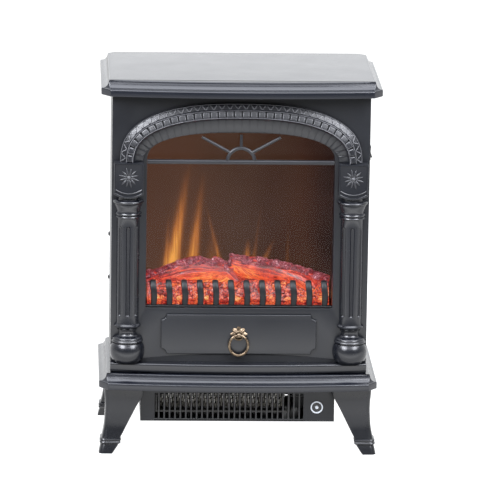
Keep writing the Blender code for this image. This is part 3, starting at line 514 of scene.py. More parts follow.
FLAME_Z = 0.255  # where the flames' lean and bend start
FLAME_FOOT_Z = 0.262  # where they are brightest


def flame_screen():
    """The screen behind the logs: a dim brown glow, and soft flames that rise from the ember bed."""
    graph = Graph("flame_screen")
    x, z = graph.x_and(2)
    drift = graph.range(graph.noise(9.0), 0.3, 0.7, -0.08, 0.12)
    shade = graph.add(graph.range(x, -0.14, 0.14, 0.0, 0.85), drift)
    glow = graph.ramp(shade, (0.0, (0.083, 0.036, 0.021)), (0.45, (0.062, 0.030, 0.018)),
                      (0.70, (0.038, 0.015, 0.009)), (1.0, (0.012, 0.006, 0.006)))
    streaks = graph.noise(1.0, 3.0, 0.6, vector=graph.stretch(graph.place, (330.0, 1.0, 22.0)))
    rise = graph.math("SUBTRACT", z, FLAME_Z)
    square = graph.times(rise, rise)
    parts = []
    for foot, lean, bend, half, top, strength in FLAMES:
        middle = graph.add(graph.math("MULTIPLY_ADD", rise, lean, foot), graph.times(square, bend))
        width = graph.range(z, FLAME_FOOT_Z, top, half, half * 0.45)
        off = graph.math("DIVIDE", graph.math("SUBTRACT", x, middle), width)
        fall = graph.math("EXPONENT", graph.times(graph.times(off, off), -1.0))
        height = graph.range(z, FLAME_FOOT_Z, top, strength, 0.0)
        parts.append(graph.times(fall, graph.math("POWER", height, 1.2)))
    heat = graph.times(graph.add(*parts), graph.range(streaks, 0.35, 0.65, 0.75, 1.15))
    flame = graph.ramp(heat, (0.0, (0, 0, 0)), (0.25, (0.12, 0.035, 0.004)), (0.55, (0.40, 0.13, 0.016)),
                       (0.95, (0.80, 0.36, 0.055)))
    graph.set(Base_Color=(0.006, 0.004, 0.004, 1), Roughness=0.6, Specular_IOR_Level=0.03,
              Emission_Color=graph.mix(1.0, glow, flame, "ADD"), Emission_Strength=1.0)
    return graph.material


def glowing_wood():
    """Moulded resin logs lit from inside: grain along each log, hotter where the mark is high."""
    graph = Graph("glowing_wood")
    grain = graph.attribute("grain", "Vector")
    lines = graph.noise(1.0, 4.0, 0.62, vector=graph.stretch(grain, (24.0, 420.0, 1.0)), distortion=0.9)
    splits = graph.noise(1.0, 2.0, 0.5, vector=graph.stretch(grain, (30.0, 300.0, 3.0)), distortion=1.4)
    split = graph.range(graph.math("ABSOLUTE", graph.math("SUBTRACT", splits, 0.5)), 0.0, 0.035, -0.55, 0.0)
    patches = graph.swing(graph.noise(60.0, 3.0, 0.6), 0.20)
    level = graph.add(graph.swing(lines, 0.42), split, patches, graph.attribute("mark"))
    graph.embers((0.05, 0.008, 0.006), graph.range(lines, 0.3, 0.7, 0.50, 0.30), 1.0, level,
                 (0.0, (0.055, 0.005, 0.008)), (0.22, (0.37, 0.014, 0.015)), (0.45, (0.76, 0.055, 0.027)),
                 (0.72, (1.0, 0.175, 0.047)), (1.0, (1.0, 0.48, 0.12)))
    return graph.bump(lines, 0.0006)


def ember_crust():
    """Charred bark with pale ash on it, over a dull red glow. The ash flecks are made to glow pale, a painted
    glint.
    """
    graph = Graph("ember_crust")
    flecks = graph.times(graph.noise(420.0, 4.0, 0.7, distortion=0.8), 0.7)
    level = graph.add(flecks, graph.times(graph.noise(130.0, 3.0, 0.6), 0.3))
    # The top two stops make the ash flecks emit a pale pink-white: a painted glint of light on them.
    graph.embers((0.07, 0.018, 0.024), 0.35, 1.0, level,
                 (0.40, (0.030, 0.003, 0.008)), (0.50, (0.16, 0.011, 0.019)), (0.56, (0.33, 0.036, 0.050)),
                 (0.60, (0.50, 0.19, 0.25)), (0.64, (0.95, 0.80, 0.92)))
    return graph.bump(level, 0.0010)


def hot_coals():
    """Lumps of ember: bright faces, with dark cracks and cooler crowns between them."""
    graph = Graph("hot_coals")
    patches = graph.noise(120.0, 4.0, 0.62, distortion=0.5)
    cracks = graph.range(graph.cracks(210.0), 0.0, 0.12, -0.46, 0.07)
    level = graph.add(graph.swing(patches, 0.34), graph.attribute("mark"), cracks)
    graph.embers((0.05, 0.010, 0.008), 0.34, 0.84, level,
                 (0.0, (0.045, 0.006, 0.008)), (0.20, (0.24, 0.010, 0.013)), (0.42, (0.68, 0.045, 0.030)),
                 (0.68, (1.0, 0.20, 0.060)), (1.0, (1.0, 0.55, 0.17)))
    return graph.bump(patches, 0.0009)


GLASS = glass()
SCREEN = flame_screen()
WOOD = glowing_wood()
CRUST = ember_crust()
COALS = hot_coals()


# ---------------------------------------------------------------- plates, body and rear

# The top and base plates: half width, back edge, and the heights of the edge's steps
PLATE_HALF = 0.200
PLATE_BACK = 0.132
PANEL_INSET = 0.0105
FASCIA = 0.010
SLOPE_RISE = 0.0082
COVE_START = 0.18  # the share of the way in from the edge to the panel
PANEL_RISE = 0.022
BOW_STEPS = 36
SLOT_HEIGHT = 0.0035  # of the rear cover's slots
SLOT_PITCH = 0.009
INLET = (0.150, 0.120, 0.142)  # where the cord would enter
SCREW_CROSS = (0.0018, 0.00045)  # half length and half width of the recess's arms


def plate_outline(share):
    """The plate's edge at share 0 and its raised panel's edge at share 1, with soft corners."""
    half = PLATE_HALF - PANEL_INSET * share
    side_front = -0.102 - 0.0065 * share
    corner_x = 0.187 + 0.0021 * share
    corner_y = -0.120 + 0.0112 * share
    back = PLATE_BACK - PANEL_INSET * share
    bow = 0.012 - 0.0005 * share
    ends = [(half - 0.010, back), (half, back - 0.010), (half, side_front), (corner_x, corner_y)]
    ends += [(-x, y) for x, y in ends[::-1]]
    soft = rounded(ends, 0.0012)
    first = 4 * 5 - 1  # the last point of the right front corner's curve
    start, end = soft[first], soft[first + 1]
    front = []
    for across in evenly(BOW_STEPS + 1, 1, -1)[1:-1]:
        y = blend(start[1], end[1], 0.5) - bow * (1 - across * across)
        front.append((blend(end[0], start[0], (1 + across) / 2), y))
    return soft[:first + 1] + front + soft[first + 1:]


def plate(name):
    """A painted board: a fascia, a cove that climbs from it to a small riser, and a raised panel."""
    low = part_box(name)[0][2]
    levels = [(0.08, 0.0), (0.02, 0.0003), (0.0, 0.0010)]
    for a in evenly(8, RIGHT_ANGLE, 0):
        levels.append((COVE_START * (1 - math.sin(a)), FASCIA - 0.0022 * (1 - math.cos(a))))
    shallow, steep = math.radians(8), math.radians(74)
    for tilt in evenly(11, shallow, steep)[1:]:
        run = (math.sin(tilt) - math.sin(shallow)) / (math.sin(steep) - math.sin(shallow))
        rise = (math.cos(shallow) - math.cos(tilt)) / (math.cos(shallow) - math.cos(steep))
        levels.append((blend(COVE_START, 0.985, run), FASCIA + (SLOPE_RISE + 0.0008) * rise))
    levels += [(1.0, FASCIA + SLOPE_RISE + 0.0012), (1.0, PANEL_RISE - 0.0021)]
    levels += oval(-0.19, 0.0020, 7, 1.19, PANEL_RISE - 0.0020, 0, RIGHT_ANGLE)
    return Shape().loft([[(x, y, low + up) for x, y in plate_outline(share)] for share, up in levels])


def slot_outline(x, z, half, height):
    """A slot with round ends, as (x, z) points."""
    radius = height / 2
    right = oval(radius, radius, 7, x + half - radius, z, -RIGHT_ANGLE, RIGHT_ANGLE)
    return right + oval(radius, radius, 7, x - half + radius, z, RIGHT_ANGLE, 3 * RIGHT_ANGLE)


def rear_cover():
    """The rear sheet, with two banks of air slots, four screw holes and the cord's inlet."""
    low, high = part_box("rear_cover")
    outlines = [rounded(rectangle(low[0], high[0], low[2], high[2]), 0.004)]
    for first in (0.168, 0.440):
        for row in range(6):
            z = first + SLOT_PITCH * row + SLOT_HEIGHT / 2
            outlines += [slot_outline(x, z, 0.035, SLOT_HEIGHT) for x in (-0.045, 0.045)]
    outlines += [disc(x, z, 0.0018, 12) for x in (-0.177, 0.177) for z in (0.145, 0.495)]
    outlines.append(disc(INLET[0], INLET[2], 0.0066))
    return Shape().flat(outlines, "Y", low[1], high[1], 0.0002)


def screw_shape(name, axis, way):
    """A pan-head screw with a crossed recess and a plain shank."""
    low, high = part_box(name)
    number = "XYZ".index(axis)
    tip = (high if way > 0 else low)[number]
    radius = (high - low)[(number + 1) % 3] / 2
    centre = (low + high) / 2
    centre[number] = 0
    head = [(tip - way * 0.0083, 0.0013), (tip - way * 0.0020, 0.0013), (tip - way * 0.0020, radius)]
    for a in evenly(7, 0, RIGHT_ANGLE):
        head.append((tip - way * 0.0012 * (1 - math.sin(a)), max(radius * math.cos(a) ** 0.8, 0.0016)))
    head += [(tip - way * 0.0002, 0.0015), (tip - way * 0.0010, 0.0003)]
    shape = Shape().turned(head, centre, axis, 24)
    arm = Vector((SCREW_CROSS[1],) * 3)
    ends = tip + way * 0.00005, tip - way * (high - low)[number] * 0.1
    for long_axis in ((number + 1) % 3, (number + 2) % 3):
        reach = arm.copy()
        reach[long_axis] = SCREW_CROSS[0]
        corners = centre - reach, centre + reach
        for corner, end in zip(corners, sorted(ends)):
            corner[number] = end
        shape.box(*corners, mark=1.0)
    return shape


def gland_shape():
    """The cord's inlet: a ribbed domed collar outside, a hexagonal nut inside, and a bore through both."""
    def tube(profile, shaped):
        """Rings of (distance along Y, radius), with the radius shaped by the angle, joined into a tube."""
        loops = []
        for along, radius in profile:
            rings = [(shaped(along, radius, a), a) for a in circle(48)]
            loops.append([(INLET[0] + out * math.cos(a), INLET[1] + along, INLET[2] + out * math.sin(a))
                          for out, a in rings])
        shape.loft(loops, ring=True)

    def ribbed(along, radius, a):
        return radius + 0.0002 * math.cos(12 * a) if 0.001 < along < 0.0095 and radius > 0.006 else radius

    def hexagon(_, radius, a):
        corner = math.cos(math.pi / 6) / math.cos(a % (math.pi / 3) - math.pi / 6)
        return 0.87 * radius * (corner if radius > 0.008 else 1.0)

    shape = Shape()
    tube([(0.0115, 0.0036), (0.0116, 0.0050), (0.0112, 0.0057), (0.0098, 0.0080), (0.0090, 0.0085),
          (0.0006, 0.0085), (0.0003, 0.0082), (0.0003, 0.0063), (-0.0060, 0.0063), (-0.0060, 0.0036)], ribbed)
    tube([(-0.0015, 0.0066), (-0.0015, 0.0107), (-0.0020, 0.0109), (-0.0055, 0.0109), (-0.0060, 0.0106),
          (-0.0060, 0.0066)], hexagon)
    return shape


# ---------------------------------------------------------------- front


DRAWER_HOLE = rectangle(-0.104, 0.104, 0.149, 0.198)


def front_frame():
    """The front sheet with its window and drawer hole, its side returns and the window's reveal."""
    arch = [arch_point(WINDOW_ARCH, a) for a in evenly(81, 0, math.pi)]
    half = WINDOW_ARCH[0]
    window = arch + rounded([arch[-1], (-half, WINDOW_LOW), (half, WINDOW_LOW), arch[0]], 0.002)[6:-6]
    sheet = rectangle(FRAME_LOW[0], FRAME_HIGH[0], FRAME_LOW[2], FRAME_HIGH[2])
    shape = Shape().flat([sheet, window, DRAWER_HOLE], "Y", FRONT_Y, FRONT_Y + 0.004, 0.0007, 3)
    for side in (-1, 1):
        x = sorted((side * FRAME_HIGH[0], side * (FRAME_HIGH[0] - 0.003)))
        shape.box((x[0], FRONT_Y + 0.002, FRAME_LOW[2]), (x[1], -0.074, FRAME_HIGH[2]))
    wall = []
    for grow, y in ((0.0, FRONT_Y + 0.001), (0.0, -0.070), (0.003, -0.070), (0.003, FRONT_Y + 0.001)):
        wall.append([(x * (1 + grow / half), y, z + (grow if z > 0.34 else -grow)) for x, z in window])
    return shape.loft(wall, ring=True)


def sill_fillet_painted_shade():
    """A low leaning strip in the corner between the front sheet and the sill, deepest in the middle. Its
    darker, duller paint is painted shade under the drawer.
    """
    foot = 0.1324
    loops = []
    for across in evenly(37, -1, 1):
        top = blend(0.1350, 0.1438, 1 - across * across)
        back = FRONT_Y - 0.0005
        section = ((FACE_Y, foot), (back - 0.23 * (top - foot), foot), (back, top), (FACE_Y, top))
        loops.append([(0.150 * across, y, z) for y, z in section])
    return Shape().loft(loops)


EDGE_RADIUS = 0.0009  # of the dentils and the chevrons
DENTIL_HEIGHT = 0.0029
DENTIL_LEAN = 0.0014
RIB_HEIGHT = 0.0016
LOBE_DEPTH = 0.0007
LOBE_PARTS = (0.0, 0.035, 0.07, 0.14, 0.26, 0.40, 0.5, 0.60, 0.74, 0.86, 0.93, 0.965)
ARCH_UNIT = 0.0115  # pitch of the dentils, the chevrons and the cove's lobes
# Where the bands' edges lie across the moulding, from 0 inside to 1 outside, at its ends and at its crown
ARCH_BANDS = ((0.0, 0.0), (0.44, 0.53), (0.72, 0.78), (1.0, 1.0))
ARCH_SECTION = (  # band, and place along Y
    (0.0, FACE_Y), (0.0, -0.0965), (0.02, -0.0977), (0.12, -0.0985), (0.30, -0.0998),
    (0.50, -0.1017), (0.70, -0.1041), (0.85, -0.1066), (0.93, -0.1084), (0.97, -0.1104),
    (1.00, -0.1120), (1.03, -0.1126), (1.07, -0.1122), (1.11, -0.1106), (1.14, -0.1078),
    (1.50, -0.1070), (1.86, -0.1062), (1.89, -0.1076), (1.93, -0.1092), (1.98, -0.1097),
    (2.03, -0.1090), (2.07, -0.1066), (2.12, -0.1045), (2.3, -0.1036), (2.5, -0.1027),
    (2.7, -0.1018), (2.84, -0.1009), (2.88, -0.1015), (2.93, -0.1016), (2.97, -0.1004),
    (3.0, -0.0985), (3.0, FACE_Y),
)
# Bands across the moulding that take the painted highlight: the bead crests.
PAINTED_HIGHLIGHT_BANDS = ((1.00, 1.07), (1.95, 2.03), (2.88, 2.95))  # the crests of the beads


def arch_angles():
    """Angles round the arch, how far along the dentils' middle line each is, and how many units fit."""
    fine = evenly(2001, 0, math.pi)
    line = [Vector(arch_place(a, 1.5)) for a in fine]
    lengths = [0.0]
    for before, after in zip(line, line[1:]):
        lengths.append(lengths[-1] + (after - before).length)
    return fine, lengths, round(lengths[-1] / ARCH_UNIT)


@functools.cache
def inner_angle(angle):
    """The angle on the inner arch that lies square across the moulding from an angle on the outer one."""
    outer = Vector(arch_point(OUTER_ARCH, angle))
    half_width, crown, power = OUTER_ARCH
    across = math.cos(angle)
    square = Vector((math.copysign(abs(across) ** (2 - 2 / power), across) / half_width,
                     abs(math.sin(angle)) ** (2 - 2 / power) / (crown - SPRING_Z)))
    low, high = 0.0, math.pi
    for _ in range(40):
        middle = (low + high) / 2
        if square.cross(Vector(arch_point(INNER_ARCH, middle)) - outer) < 0:
            low = middle
        else:
            high = middle
    return (low + high) / 2


@functools.cache
def arch_place(angle, band):
    """The (x, z) point of the moulding at an angle and a band, from 0 inside to 3 outside."""
    inner = arch_point(INNER_ARCH, inner_angle(angle))
    outer = arch_point(OUTER_ARCH, angle)
    edges = [blend(low, high, math.sin(angle)) for low, high in ARCH_BANDS]
    part = min(int(band), 2)
    share = blend(edges[part], edges[part + 1], band - part)
    return blend(inner[0], outer[0], share), blend(inner[1], outer[1], share)


def arch_y(band):
    """How far forward the moulding's surface is at a place across its bands."""
    section = ARCH_SECTION[1:-1]
    for (a, y_a), (b, y_b) in zip(section, section[1:]):
        if band <= b:
            return blend(y_a, y_b, (band - a) / (b - a) if b > a else 0.0)
    return section[-1][1]


def arch_moulding():
    """A cove of shallow lobes, a row of dentils and a row of chevrons, going out, with beads between."""
    fine, lengths, units = arch_angles()

    def angle_at(unit):
        """The angle that lies so many units along the dentils' middle line."""
        want = lengths[-1] * min(max(unit / units, 0.0), 1.0)
        above = min(max(bisect.bisect_right(lengths, want), 1), len(lengths) - 1)
        share = (want - lengths[above - 1]) / (lengths[above] - lengths[above - 1])
        return blend(fine[above - 1], fine[above], share)

    shape = Shape()
    rows = []
    # Per point: 1 on the bead crests, where the moulding paint lays its painted highlight.
    painted_highlight = []
    for place in [unit + part for unit in range(units) for part in LOBE_PARTS] + [units]:
        angle = angle_at(place)
        part = place % 1
        lobe = 1 - (2 * part - 1) ** 4  # nearly flat across, falling into a narrow joint at each unit's edge
        scallop = 1 - (2 * part - 1) ** 2
        row = []
        for band, y in ARCH_SECTION:
            painted_highlight.append(1.0 if any(start <= band <= end for start, end in PAINTED_HIGHLIGHT_BANDS) else 0.0)
            reach = max(0.0, min(1.0, (0.93 - band) / 0.15))
            x, z = arch_place(angle, band - 0.028 * scallop * max(0.0, 1 - band / 0.25))
            row.append((x, y - (LOBE_DEPTH * lobe * reach if y < FACE_Y else 0.0), z))
        rows.append(row)
    shape.loft(rows)
    shape.marks = painted_highlight

    def block(corners, height, curve, highlight_low, highlight_high, lean=0.0):
        """A raised block over (unit, band) corners. Between two of its levels its rounded edge takes a
        painted highlight.
        """
        middle_u, middle_b = (sum(values) / len(corners) for values in zip(*corners))
        outer = max(b for _, b in corners)
        levels = oval(curve, EDGE_RADIUS, 7, 1 - curve, height - EDGE_RADIUS, 0, RIGHT_ANGLE)
        levels = [(1.0, -0.0010), *levels, (0.35, height)]
        loops = []
        marks = []
        for level, (size, up) in enumerate(levels):
            loop = []
            for (u, b), (next_u, next_b) in zip(corners, corners[1:] + corners[:1]):
                for step in range(3):
                    unit = middle_u + (blend(u, next_u, step / 3) - middle_u) * size
                    band = middle_b + (blend(b, next_b, step / 3) - middle_b) * size
                    x, z = arch_place(angle_at(unit), band)
                    loop.append((x, arch_y(band) - up - lean * (outer - band), z))
                    marks.append(1.0 if highlight_low <= level <= highlight_high else 0.0)
            loops.append(loop)
        shape.loft(loops)
        shape.marks[-len(marks):] = marks

    for unit in range(units):
        dentil = [(unit + 0.11, 1.16), (unit + 0.89, 1.16), (unit + 0.89, 1.86), (unit + 0.11, 1.86)]
        block(dentil, DENTIL_HEIGHT, 0.22, 2, 5, DENTIL_LEAN)
        for foot, way in ((0.0, 1), (1.0, -1)):
            low = unit + foot + way * 0.06
            high = unit + 0.5
            rib = [(low - 0.07, 2.85), (high - 0.07, 2.13), (high + 0.07, 2.13), (low + 0.07, 2.85)]
            block(rib, RIB_HEIGHT, 0.5, 4, 9)
    return shape


# A column's profile below and above the shaft: height and radius
COLUMN_STATIONS = (
    (0.1325, 0.0180), (0.1335, 0.0196), (0.1360, 0.0219), (0.1400, 0.0238), (0.1445, 0.0248),
    (0.1490, 0.0250), (0.1530, 0.0246), (0.1565, 0.0236), (0.1590, 0.0224), (0.1605, 0.0213),
    (0.1610, 0.0200), (0.1615, 0.0200), (0.1619, 0.0216), (0.1627, 0.0225), (0.1640, 0.0227),
    (0.1652, 0.0220), (0.1658, 0.0213), (0.1663, 0.0214), (0.1673, 0.0214), (0.1686, 0.0206),
    (0.1696, 0.0192), (0.1702, 0.0178), (0.1706, 0.0160), (0.1715, 0.0145), (0.1737, 0.0131),
    (0.1765, 0.0127), (0.1784, 0.0130), (0.1793, 0.0142), (0.1804, 0.0146), (0.1813, 0.0138),
    (0.1820, 0.0136), (0.1830, 0.0146), (0.1836, 0.0168), (0.1843, 0.0184), (0.1855, 0.0193),
    (0.1870, 0.0190), (0.1882, 0.0178), (0.1892, 0.0166), (0.1905, 0.0163),
)
COLUMN_TOP = (
    (0.3430, 0.0163), (0.3440, 0.0168), (0.3446, 0.0182), (0.3458, 0.0188), (0.3470, 0.0183),
    (0.3476, 0.0172), (0.3482, 0.0172), (0.3490, 0.0186), (0.3503, 0.0192), (0.3516, 0.0186),
    (0.3524, 0.0170), (0.3532, 0.0168), (0.3560, 0.0176), (0.3600, 0.0188), (0.3640, 0.0201),
    (0.3646, 0.0200), (0.3652, 0.0206), (0.3658, 0.0215), (0.3666, 0.0221), (0.3676, 0.0223),
    (0.3686, 0.0220), (0.3694, 0.0213), (0.3700, 0.0203), (0.3704, 0.0190), (0.3706, 0.0155),
    (0.3735, 0.0150), (0.3780, 0.0150),
)

# The shaft and its flutes
SHAFT_RADIUS = 0.0163
FLUTE_RADIUS = 0.0030
FLUTE_LOW = 0.2005
FLUTE_HIGH = 0.3325
FLUTE_ANGLES = (-math.pi / 4, 0.0, math.pi / 4)
PETALS = 12  # in a rosette


def flute_depth(angle, z):
    """How far a flute's round-ended hollow cuts into the shaft at an angle and a height."""
    if not FLUTE_LOW <= z <= FLUTE_HIGH:
        return 0.0
    off = min(abs(angle - middle) for middle in FLUTE_ANGLES) * SHAFT_RADIUS
    end = max(0.0, FLUTE_LOW + FLUTE_RADIUS - z, z - FLUTE_HIGH + FLUTE_RADIUS)
    inside = FLUTE_RADIUS ** 2 - off * off - end * end
    return 0.85 * math.sqrt(inside) if inside > 0 else 0.0


def column_shape(x):
    """A half-round turned column: ball foot, beads, a shaft with three flutes, and a bell on top."""
    run_out = [-0.0005] + [FLUTE_RADIUS * (1 - math.cos(a)) for a in evenly(7, 0, RIGHT_ANGLE)]
    shaft = [FLUTE_LOW + up for up in run_out] + [FLUTE_HIGH - up for up in run_out[::-1]]
    stations = [*COLUMN_STATIONS, *((z, SHAFT_RADIUS) for z in shaft), *COLUMN_TOP]
    half_turn = math.asin(FLUTE_RADIUS / SHAFT_RADIUS)
    edges = [-RIGHT_ANGLE]
    for middle in FLUTE_ANGLES:
        edges += [middle - half_turn, middle + half_turn]
    edges.append(RIGHT_ANGLE)
    angles = []
    for number, (start, end) in enumerate(zip(edges, edges[1:])):
        for share in evenly(9, 0, 1)[:-1]:
            angles.append(blend(start, end, (1 - math.cos(math.pi * share)) / 2 if number % 2 else share))
    angles.append(RIGHT_ANGLE)
    loops = []
    for z, radius in stations:
        loop = []
        for angle in angles:
            here = radius - flute_depth(angle, z)
            loop.append((x + here * math.sin(angle), FACE_Y - here * math.cos(angle), z))
        loops.append(loop + [(x + radius, FACE_Y, z), (x - radius, FACE_Y, z)])
    return Shape().loft(loops)


def block_shape(x):
    """The block on a column: a sunk field in a border, a curved lower edge, a bead and a rosette."""
    half = 0.021
    dip = 0.006
    top = SPRING_Z - GAP
    front = FACE_Y - 0.019

    def lower(inset, up):
        """The curved lower edge as (x, z) points, so far in from the sides and so far up."""
        return [(x + (half - inset) * across, BLOCK_LOW + up - dip * (1 - across * across))
                for across in evenly(17, -1, 1)]

    loops = []
    for y, inset in (
        (FACE_Y, 0.0), (front + 0.0008, 0.0), (front + 0.0002, 0.0002), (front, 0.0007),
        (front, 0.0020), (front + 0.0003, 0.0023), (front + 0.0011, 0.0025), (front + 0.0012, 0.0030),
    ):
        upper = [(x + half - inset, top - inset), (x - half + inset, top - inset)]
        loops.append([(u, y, v) for u, v in lower(inset, inset) + upper])
    shape = Shape().loft(loops)
    bead = [(u, front + 0.0009, v) for u, v in lower(0.0026, 0.0072)]
    # The marks on the bead, the petals and the boss lay the paint's painted highlight on them.
    shape.sweep(bead, oval(0.0008, 0.0010, 8), up=FORWARD, mark=0.2)
    middle = Vector((x, front + 0.0010, 0.4045))
    for i in range(PETALS):
        along, across = star_directions(2 * math.pi * (i + 0.5) / PETALS)
        length = 0.0150 if i % 2 else 0.0136
        loops = []
        for t in evenly(9, 0, 1):
            wide = 0.0016 * math.sin(math.pi * t ** 0.8) ** 0.8 + 0.00008
            up = 0.0013 * math.sin(math.pi * t * 0.97) ** 0.6 + 0.0002
            centre = middle + along * blend(0.0024, length, t)
            petal = [centre + across * u - Vector((0, v, 0)) for u, v in oval(-wide, up, 7, 0, 0, 0, math.pi)]
            loops.append(petal + [centre + Vector((0, 0.0006, 0))])
        shape.loft(loops, mark=0.13)
    boss = [(0.0006, 0.0027), (-0.0006, 0.0027), (-0.0010, 0.0023), (-0.0012, 0.0020)]
    boss += [(-along, radius) for radius, along in oval(0.0020, 0.0022, 6, 0, 0.0012, 0.3, 1.45)]
    return shape.turned(boss, middle, "Y", 16, mark=0.45)


SILL_LOWER = ((0.0030, 0.0), (0.0020, 0.0003), (0.0012, 0.0012), (0.0006, 0.0045))  # its front's lower part


def sill():
    """The bowed moulding under the drawer, with a rounded top edge."""
    low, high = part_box("sill_moulding")
    loops = []
    for across in evenly(37, -1, 1):
        front = blend(-0.103, low[1], 1 - across * across)
        section = [(FACE_Y, low[2])]
        section += [(front + back, low[2] + up) for back, up in SILL_LOWER]
        section.append((front, high[2] - 0.0036))
        section += oval(-0.0030, 0.0030, 9, front + 0.0030, high[2] - 0.0030, 0, RIGHT_ANGLE)
        section.append((FACE_Y, high[2]))
        loops.append([(high[0] * across, y, z) for y, z in section])
    return Shape().loft(loops)


FANLIGHT_Y = -0.0900
FINGERS = 12
FINGER_PITCH = 0.0223
FINGER_PATH = (  # height, place along Y and shift along X
    (0.2125, -0.0882, 0.0002), (0.2200, -0.0908, 0.0006), (0.2290, -0.0930, 0.0008),
    (0.2370, -0.0932, 0.0002), (0.2430, -0.0915, -0.0006), (0.2470, -0.0880, -0.0009),
    (0.2485, -0.0845, -0.0009), (0.2478, -0.0818, -0.0009),
)


def half_round(half, depth):
    """A bar's section: flat at the back and round in front, as (across, out)."""
    arc = [(half * math.cos(a), depth * math.sin(a) ** 0.8) for a in evenly(9, 0, math.pi)]
    return arc + [(-half, -0.0012), (half, -0.0012)]


def fanlight():
    """A level bar with a half-ring hub on it and three bars that fan out to the arch."""
    level = [(x, 0.4238) for x in (-0.1335, 0.0, 0.1335)]
    hub = oval(0.0195, 0.0195, 25, 0.0, 0.4245, 0, math.pi)
    shape = Shape()
    for path, half, depth in (
        (level, 0.0033, 0.0026), (hub, 0.0026, 0.0023),
        (((0.0, 0.4430), (0.0, 0.4637)), 0.0021, 0.0020),
        (((-0.0160, 0.4380), (-0.0560, 0.4600)), 0.0021, 0.0020),
        (((0.0160, 0.4380), (0.0560, 0.4600)), 0.0021, 0.0020),
    ):
        # mark: a faint painted highlight on the bars.
        shape.sweep([(x, FANLIGHT_Y, z) for x, z in path], half_round(half, depth), FORWARD, mark=0.07)
    return shape


def grate():
    """Twelve iron fingers on a low bar. Each swells forward and rolls back at its rounded top."""
    low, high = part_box("fire_grate")
    shape = Shape()
    bar_z = low[2] + 0.0016
    shape.sweep([(low[0], -0.0885, bar_z), (high[0], -0.0885, bar_z)], oval(0.0040, 0.0018, 14))
    path = spline(FINGER_PATH, 4)
    sizes = []
    for t in evenly(len(path), 0, 1):
        tip = math.sqrt(max(0.06, 1 - smooth_step(0.80, 1.02, t) ** 2))
        sizes.append(tip * (0.93 + 0.07 * math.sin(math.pi * t)))
    section = [(math.copysign(0.0045 * abs(u) ** 0.65, u), math.copysign(0.0023 * abs(v) ** 0.8, v))
               for u, v in oval(1, 1, 20)]
    for i in range(FINGERS):
        x = FINGER_PITCH * (i - (FINGERS - 1) / 2)
        shape.sweep([(x + shift, y, z) for z, y, shift in path], section, up=(0, -0.94, 0.34), sizes=sizes)
    return shape


# ---------------------------------------------------------------- fire

FIRE_LOW, FIRE_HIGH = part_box("log_bed")
CRUST_LUMPS = 620
COAL_LUMPS = 150


def rough_noise(point, scale, seed=0.0, octaves=3):
    """Layered noise at a point, about -1 to 1."""
    found = 0.0
    for octave in range(octaves):
        shift = Vector((seed, seed * 0.7, 17.3 * octave))
        found += 0.5 ** octave * noise.noise(Vector(point) * scale * 2 ** octave + shift)
    return found


class Logs(Shape):
    """Logs that also store where each point lies along and around its log, for the wood grain."""

    def log(self, route, radii, seed, heat, around=56):
        """A split log along a smooth route. heat(along, up) is its glow from 0 to 1 at a place on it."""
        line = spline([(*point, radius) for point, radius in zip(route, radii)], 9)
        centres = [Vector(point[:3]) for point in line]
        loops = []
        marks = []
        travelled = 0.0
        last = len(centres) - 1
        for i, centre in enumerate(centres):
            direction = (centres[min(i + 1, last)] - centres[max(i - 1, 0)]).normalized()
            side = direction.cross(Vector((0, 0, 1))).normalized()
            up = side.cross(direction)
            if i:
                travelled += (centre - centres[i - 1]).length
            radius = line[i][3]
            loop = []
            for a in circle(around):
                u, v = radius * math.cos(a), radius * math.sin(a)
                rib = rough_noise((travelled * 0.30, 5 * u, 5 * v), 62.0, seed)
                knot = rough_noise((travelled, u, v), 45.0, seed + 9, 2)
                loop.append(centre + (side * u + up * v) * (1 + 0.11 * rib + 0.10 * knot))
                self.grain.append((travelled, a * radius, seed))
                marks.append(heat(i / last, math.sin(a)))
            loops.append(loop)
        first = len(self.points)
        self.loft(loops, caps=False)
        self.marks[first:] = marks
        for end, way in ((0, -1), (last, 1)):
            self.end_face(loops[end], centres[end], seed, way, marks[end * around:(end + 1) * around])

    def end_face(self, loop, centre, seed, way, marks):
        """A log's sawn end: rings of points that close on its middle."""
        rings = []
        heat = []
        for ring, share in enumerate((1.0, 0.82, 0.6, 0.36, 0.12)):
            rings.append([centre + (point - centre) * share for point in loop])
            for j, mark in enumerate(marks):
                self.grain.append((0.03 * share, 0.012 * share * way + 0.001 * math.sin(3 * j), seed + ring))
                heat.append(mark * 0.6 + 0.32 * (1 - share) + 0.10)
        first = len(self.points)
        self.loft(rings, caps=False)
        self.faces.append(tuple(range(len(self.points) - len(loop), len(self.points))))
        self.marks[first:] = heat


def log_pieces():
    """Two long logs that rest against each other, a short one across the join, and a split one in front."""
    def left_heat(along, up):
        front = smooth_step(0.75, -0.2, up)
        return 0.20 + 0.38 * front * smooth_step(0.05, 0.75, along) + 0.12 * front

    def right_heat(along, up):
        return 0.20 + 0.42 * smooth_step(0.7, -0.3, up) - 0.10 * abs(along - 0.35)

    def short_heat(_, up):
        return 0.30 + 0.35 * smooth_step(0.8, -0.5, up)

    logs = Logs()
    logs.log([(-0.1305, -0.026, 0.2330), (-0.100, -0.028, 0.2430), (-0.066, -0.030, 0.2520),
              (-0.030, -0.033, 0.2505), (-0.008, -0.035, 0.2460)],
             (0.0150, 0.0165, 0.0185, 0.0165, 0.0120), 3.1, left_heat)
    logs.log([(-0.0130, -0.026, 0.2620), (0.018, -0.027, 0.2560), (0.052, -0.028, 0.2500),
              (0.090, -0.029, 0.2420), (0.1305, -0.030, 0.2330)],
             (0.0125, 0.0160, 0.0165, 0.0155, 0.0120), 8.7, right_heat)
    logs.log([(-0.036, -0.022, 0.2640), (-0.026, -0.030, 0.2600), (-0.012, -0.042, 0.2480),
              (0.0, -0.050, 0.2380)],
             (0.0075, 0.0085, 0.0080, 0.0060), 5.3, short_heat, around=36)
    logs.log([(0.070, -0.036, 0.2480), (0.092, -0.044, 0.2420), (0.112, -0.052, 0.2300)],
             (0.0080, 0.0105, 0.0090), 12.9, short_heat, around=36)
    return logs


